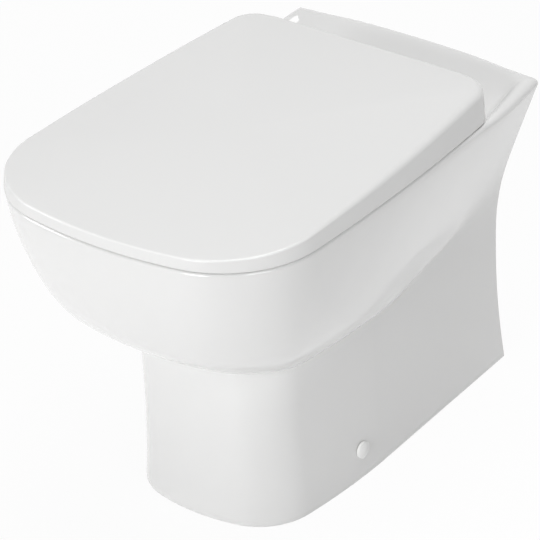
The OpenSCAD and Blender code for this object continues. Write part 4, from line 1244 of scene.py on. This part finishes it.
def make_world(sky):
    """A soft even sky that looks white, with its light at the given strength."""
    world = bpy.data.worlds.new("studio")
    world.use_nodes = True
    bpy.context.scene.world = world
    nodes, links = world.node_tree.nodes, world.node_tree.links
    background = nodes["Background"]
    background.inputs["Color"].default_value = (1, 1, 1, 1)
    strength = nodes.new("ShaderNodeMapRange")
    strength.inputs["To Min"].default_value = sky
    strength.inputs["To Max"].default_value = 1.0
    links.new(white_to_camera(nodes, links, 1.0), strength.inputs["Value"])
    links.new(strength.outputs["Result"], background.inputs["Strength"])


def make_floor():
    """A floor that looks white but keeps a trace of shadow, and sends grey light back up."""
    bm = bmesh.new()
    bmesh.ops.create_circle(bm, cap_ends=True, segments=96, radius=FLOOR_RADIUS)
    mesh = bpy.data.meshes.new("studio_floor")
    bm.to_mesh(mesh)
    bm.free()
    floor = bpy.data.objects.new("studio_floor", mesh)
    bpy.context.scene.collection.objects.link(floor)
    material = bpy.data.materials.new("studio_white")
    material.use_nodes = True
    nodes, links = material.node_tree.nodes, material.node_tree.links
    nodes.clear()
    matt, glow = nodes.new("ShaderNodeBsdfDiffuse"), nodes.new("ShaderNodeEmission")
    matt.inputs["Color"].default_value = (FLOOR_GREY, FLOOR_GREY, FLOOR_GREY, 1)
    glow.inputs["Color"].default_value = (1, 1, 1, 1)
    blend, out = nodes.new("ShaderNodeMixShader"), nodes.new("ShaderNodeOutputMaterial")
    links.new(white_to_camera(nodes, links, FLOOR_WHITE), blend.inputs["Fac"])
    links.new(matt.outputs["BSDF"], blend.inputs[1])
    links.new(glow.outputs["Emission"], blend.inputs[2])
    links.new(blend.outputs["Shader"], out.inputs["Surface"])
    give(floor, material)


class TOILET_OT_stage(bpy.types.Operator):
    """Make the white floor, the soft lamps, the sky and the camera"""

    bl_idname = "toilet.stage"
    bl_label = "Stage"

    def execute(self, context):
        settings = context.scene.toilet_stage
        make_floor()
        make_world(settings.sky)
        for name, (place, size) in LAMPS.items():
            make_lamp(name, place, size, getattr(settings, name))
        make_camera(settings)
        context.scene.view_settings.view_transform = "Standard"
        return {"FINISHED"}


# ---- Add-on ----


def colour_of(what, default):
    name, description = what.capitalize(), f"Colour of the {what}"
    return FloatVectorProperty(
        name=name, description=description, subtype="COLOR", default=default, min=0, max=1
    )


def lamp_power(where, watts):
    description = f"Power of the lamp {where}, in watts"
    return FloatProperty(name=f"Lamp {where}", description=description, default=watts)


class ToiletPanSettings(bpy.types.PropertyGroup):
    glaze_colour: colour_of("glaze", (0.83, 0.83, 0.825))
    body_colour: colour_of("unglazed ceramic under the foot", (0.72, 0.69, 0.62))


class ToiletSeatSettings(bpy.types.PropertyGroup):
    colour: colour_of("seat and the lid", (0.82, 0.82, 0.815))


class ToiletFittingsSettings(bpy.types.PropertyGroup):
    chrome_colour: colour_of("chromed pieces", (0.78, 0.78, 0.79))
    steel_colour: colour_of("zinc-plated steel", (0.6, 0.6, 0.58))
    buffer_colour: colour_of("soft buffers", (0.7, 0.7, 0.7))
    rubber_colour: colour_of("seal and the bushes", (0.035, 0.035, 0.037))
    damper_colour: colour_of("damper bodies", (0.12, 0.12, 0.13))
    cap_colour: colour_of("push-on caps", (0.86, 0.86, 0.86))


class ToiletStageSettings(bpy.types.PropertyGroup):
    yaw: FloatProperty(name="Yaw", description="The camera's turn to the left, in degrees", default=38.314)
    pitch: FloatProperty(name="Pitch", description="How far it looks down, in degrees", default=31.489)
    roll: FloatProperty(name="Roll", description="The camera's tilt, in degrees", default=-3.254)
    distance: FloatProperty(name="Distance", description="From its target, in metres", default=4.269082)
    lens: FloatProperty(name="Lens", description="Focal length, in millimetres", default=273.632)
    top: lamp_power("overhead", 90)
    right: lamp_power("on the right", 41)
    front: lamp_power("in front", 86)
    left: lamp_power("on the left", 60)
    sky: FloatProperty(name="Sky", description="Strength of the sky's light", default=0.03, min=0, max=1)


class TOILET_PT_panel(bpy.types.Panel):
    """Lists the toilet's pieces in the order they are made"""

    bl_idname = "TOILET_PT_panel"
    bl_label = "Back to wall toilet"
    bl_space_type = "VIEW_3D"
    bl_region_type = "UI"
    bl_category = "Toilet"

    def draw(self, context):
        for operator in OPERATORS:
            self.layout.operator(operator.bl_idname)
        for settings in SETTINGS:
            group = getattr(context.scene, settings)
            box = self.layout.box()
            for name in group.bl_rna.properties.keys():
                if name not in ("name", "rna_type"):
                    box.prop(group, name)


OPERATORS = (TOILET_OT_pan, TOILET_OT_lid, TOILET_OT_seat, TOILET_OT_fittings, TOILET_OT_stage)
SETTINGS = {
    "toilet_pan": ToiletPanSettings,
    "toilet_seat": ToiletSeatSettings,
    "toilet_fittings": ToiletFittingsSettings,
    "toilet_stage": ToiletStageSettings,
}


def register():
    for cls in (*SETTINGS.values(), *OPERATORS, TOILET_PT_panel):
        bpy.utils.register_class(cls)
    for name, settings in SETTINGS.items():
        setattr(bpy.types.Scene, name, PointerProperty(type=settings))


def unregister():
    for name in SETTINGS:
        delattr(bpy.types.Scene, name)
    for cls in reversed((*SETTINGS.values(), *OPERATORS, TOILET_PT_panel)):
        bpy.utils.unregister_class(cls)


def main():
    register()
    bpy.ops.toilet.pan()
    bpy.ops.toilet.lid()
    bpy.ops.toilet.seat()
    bpy.ops.toilet.fittings()
    bpy.ops.toilet.stage()


if __name__ == "__main__":
    main()
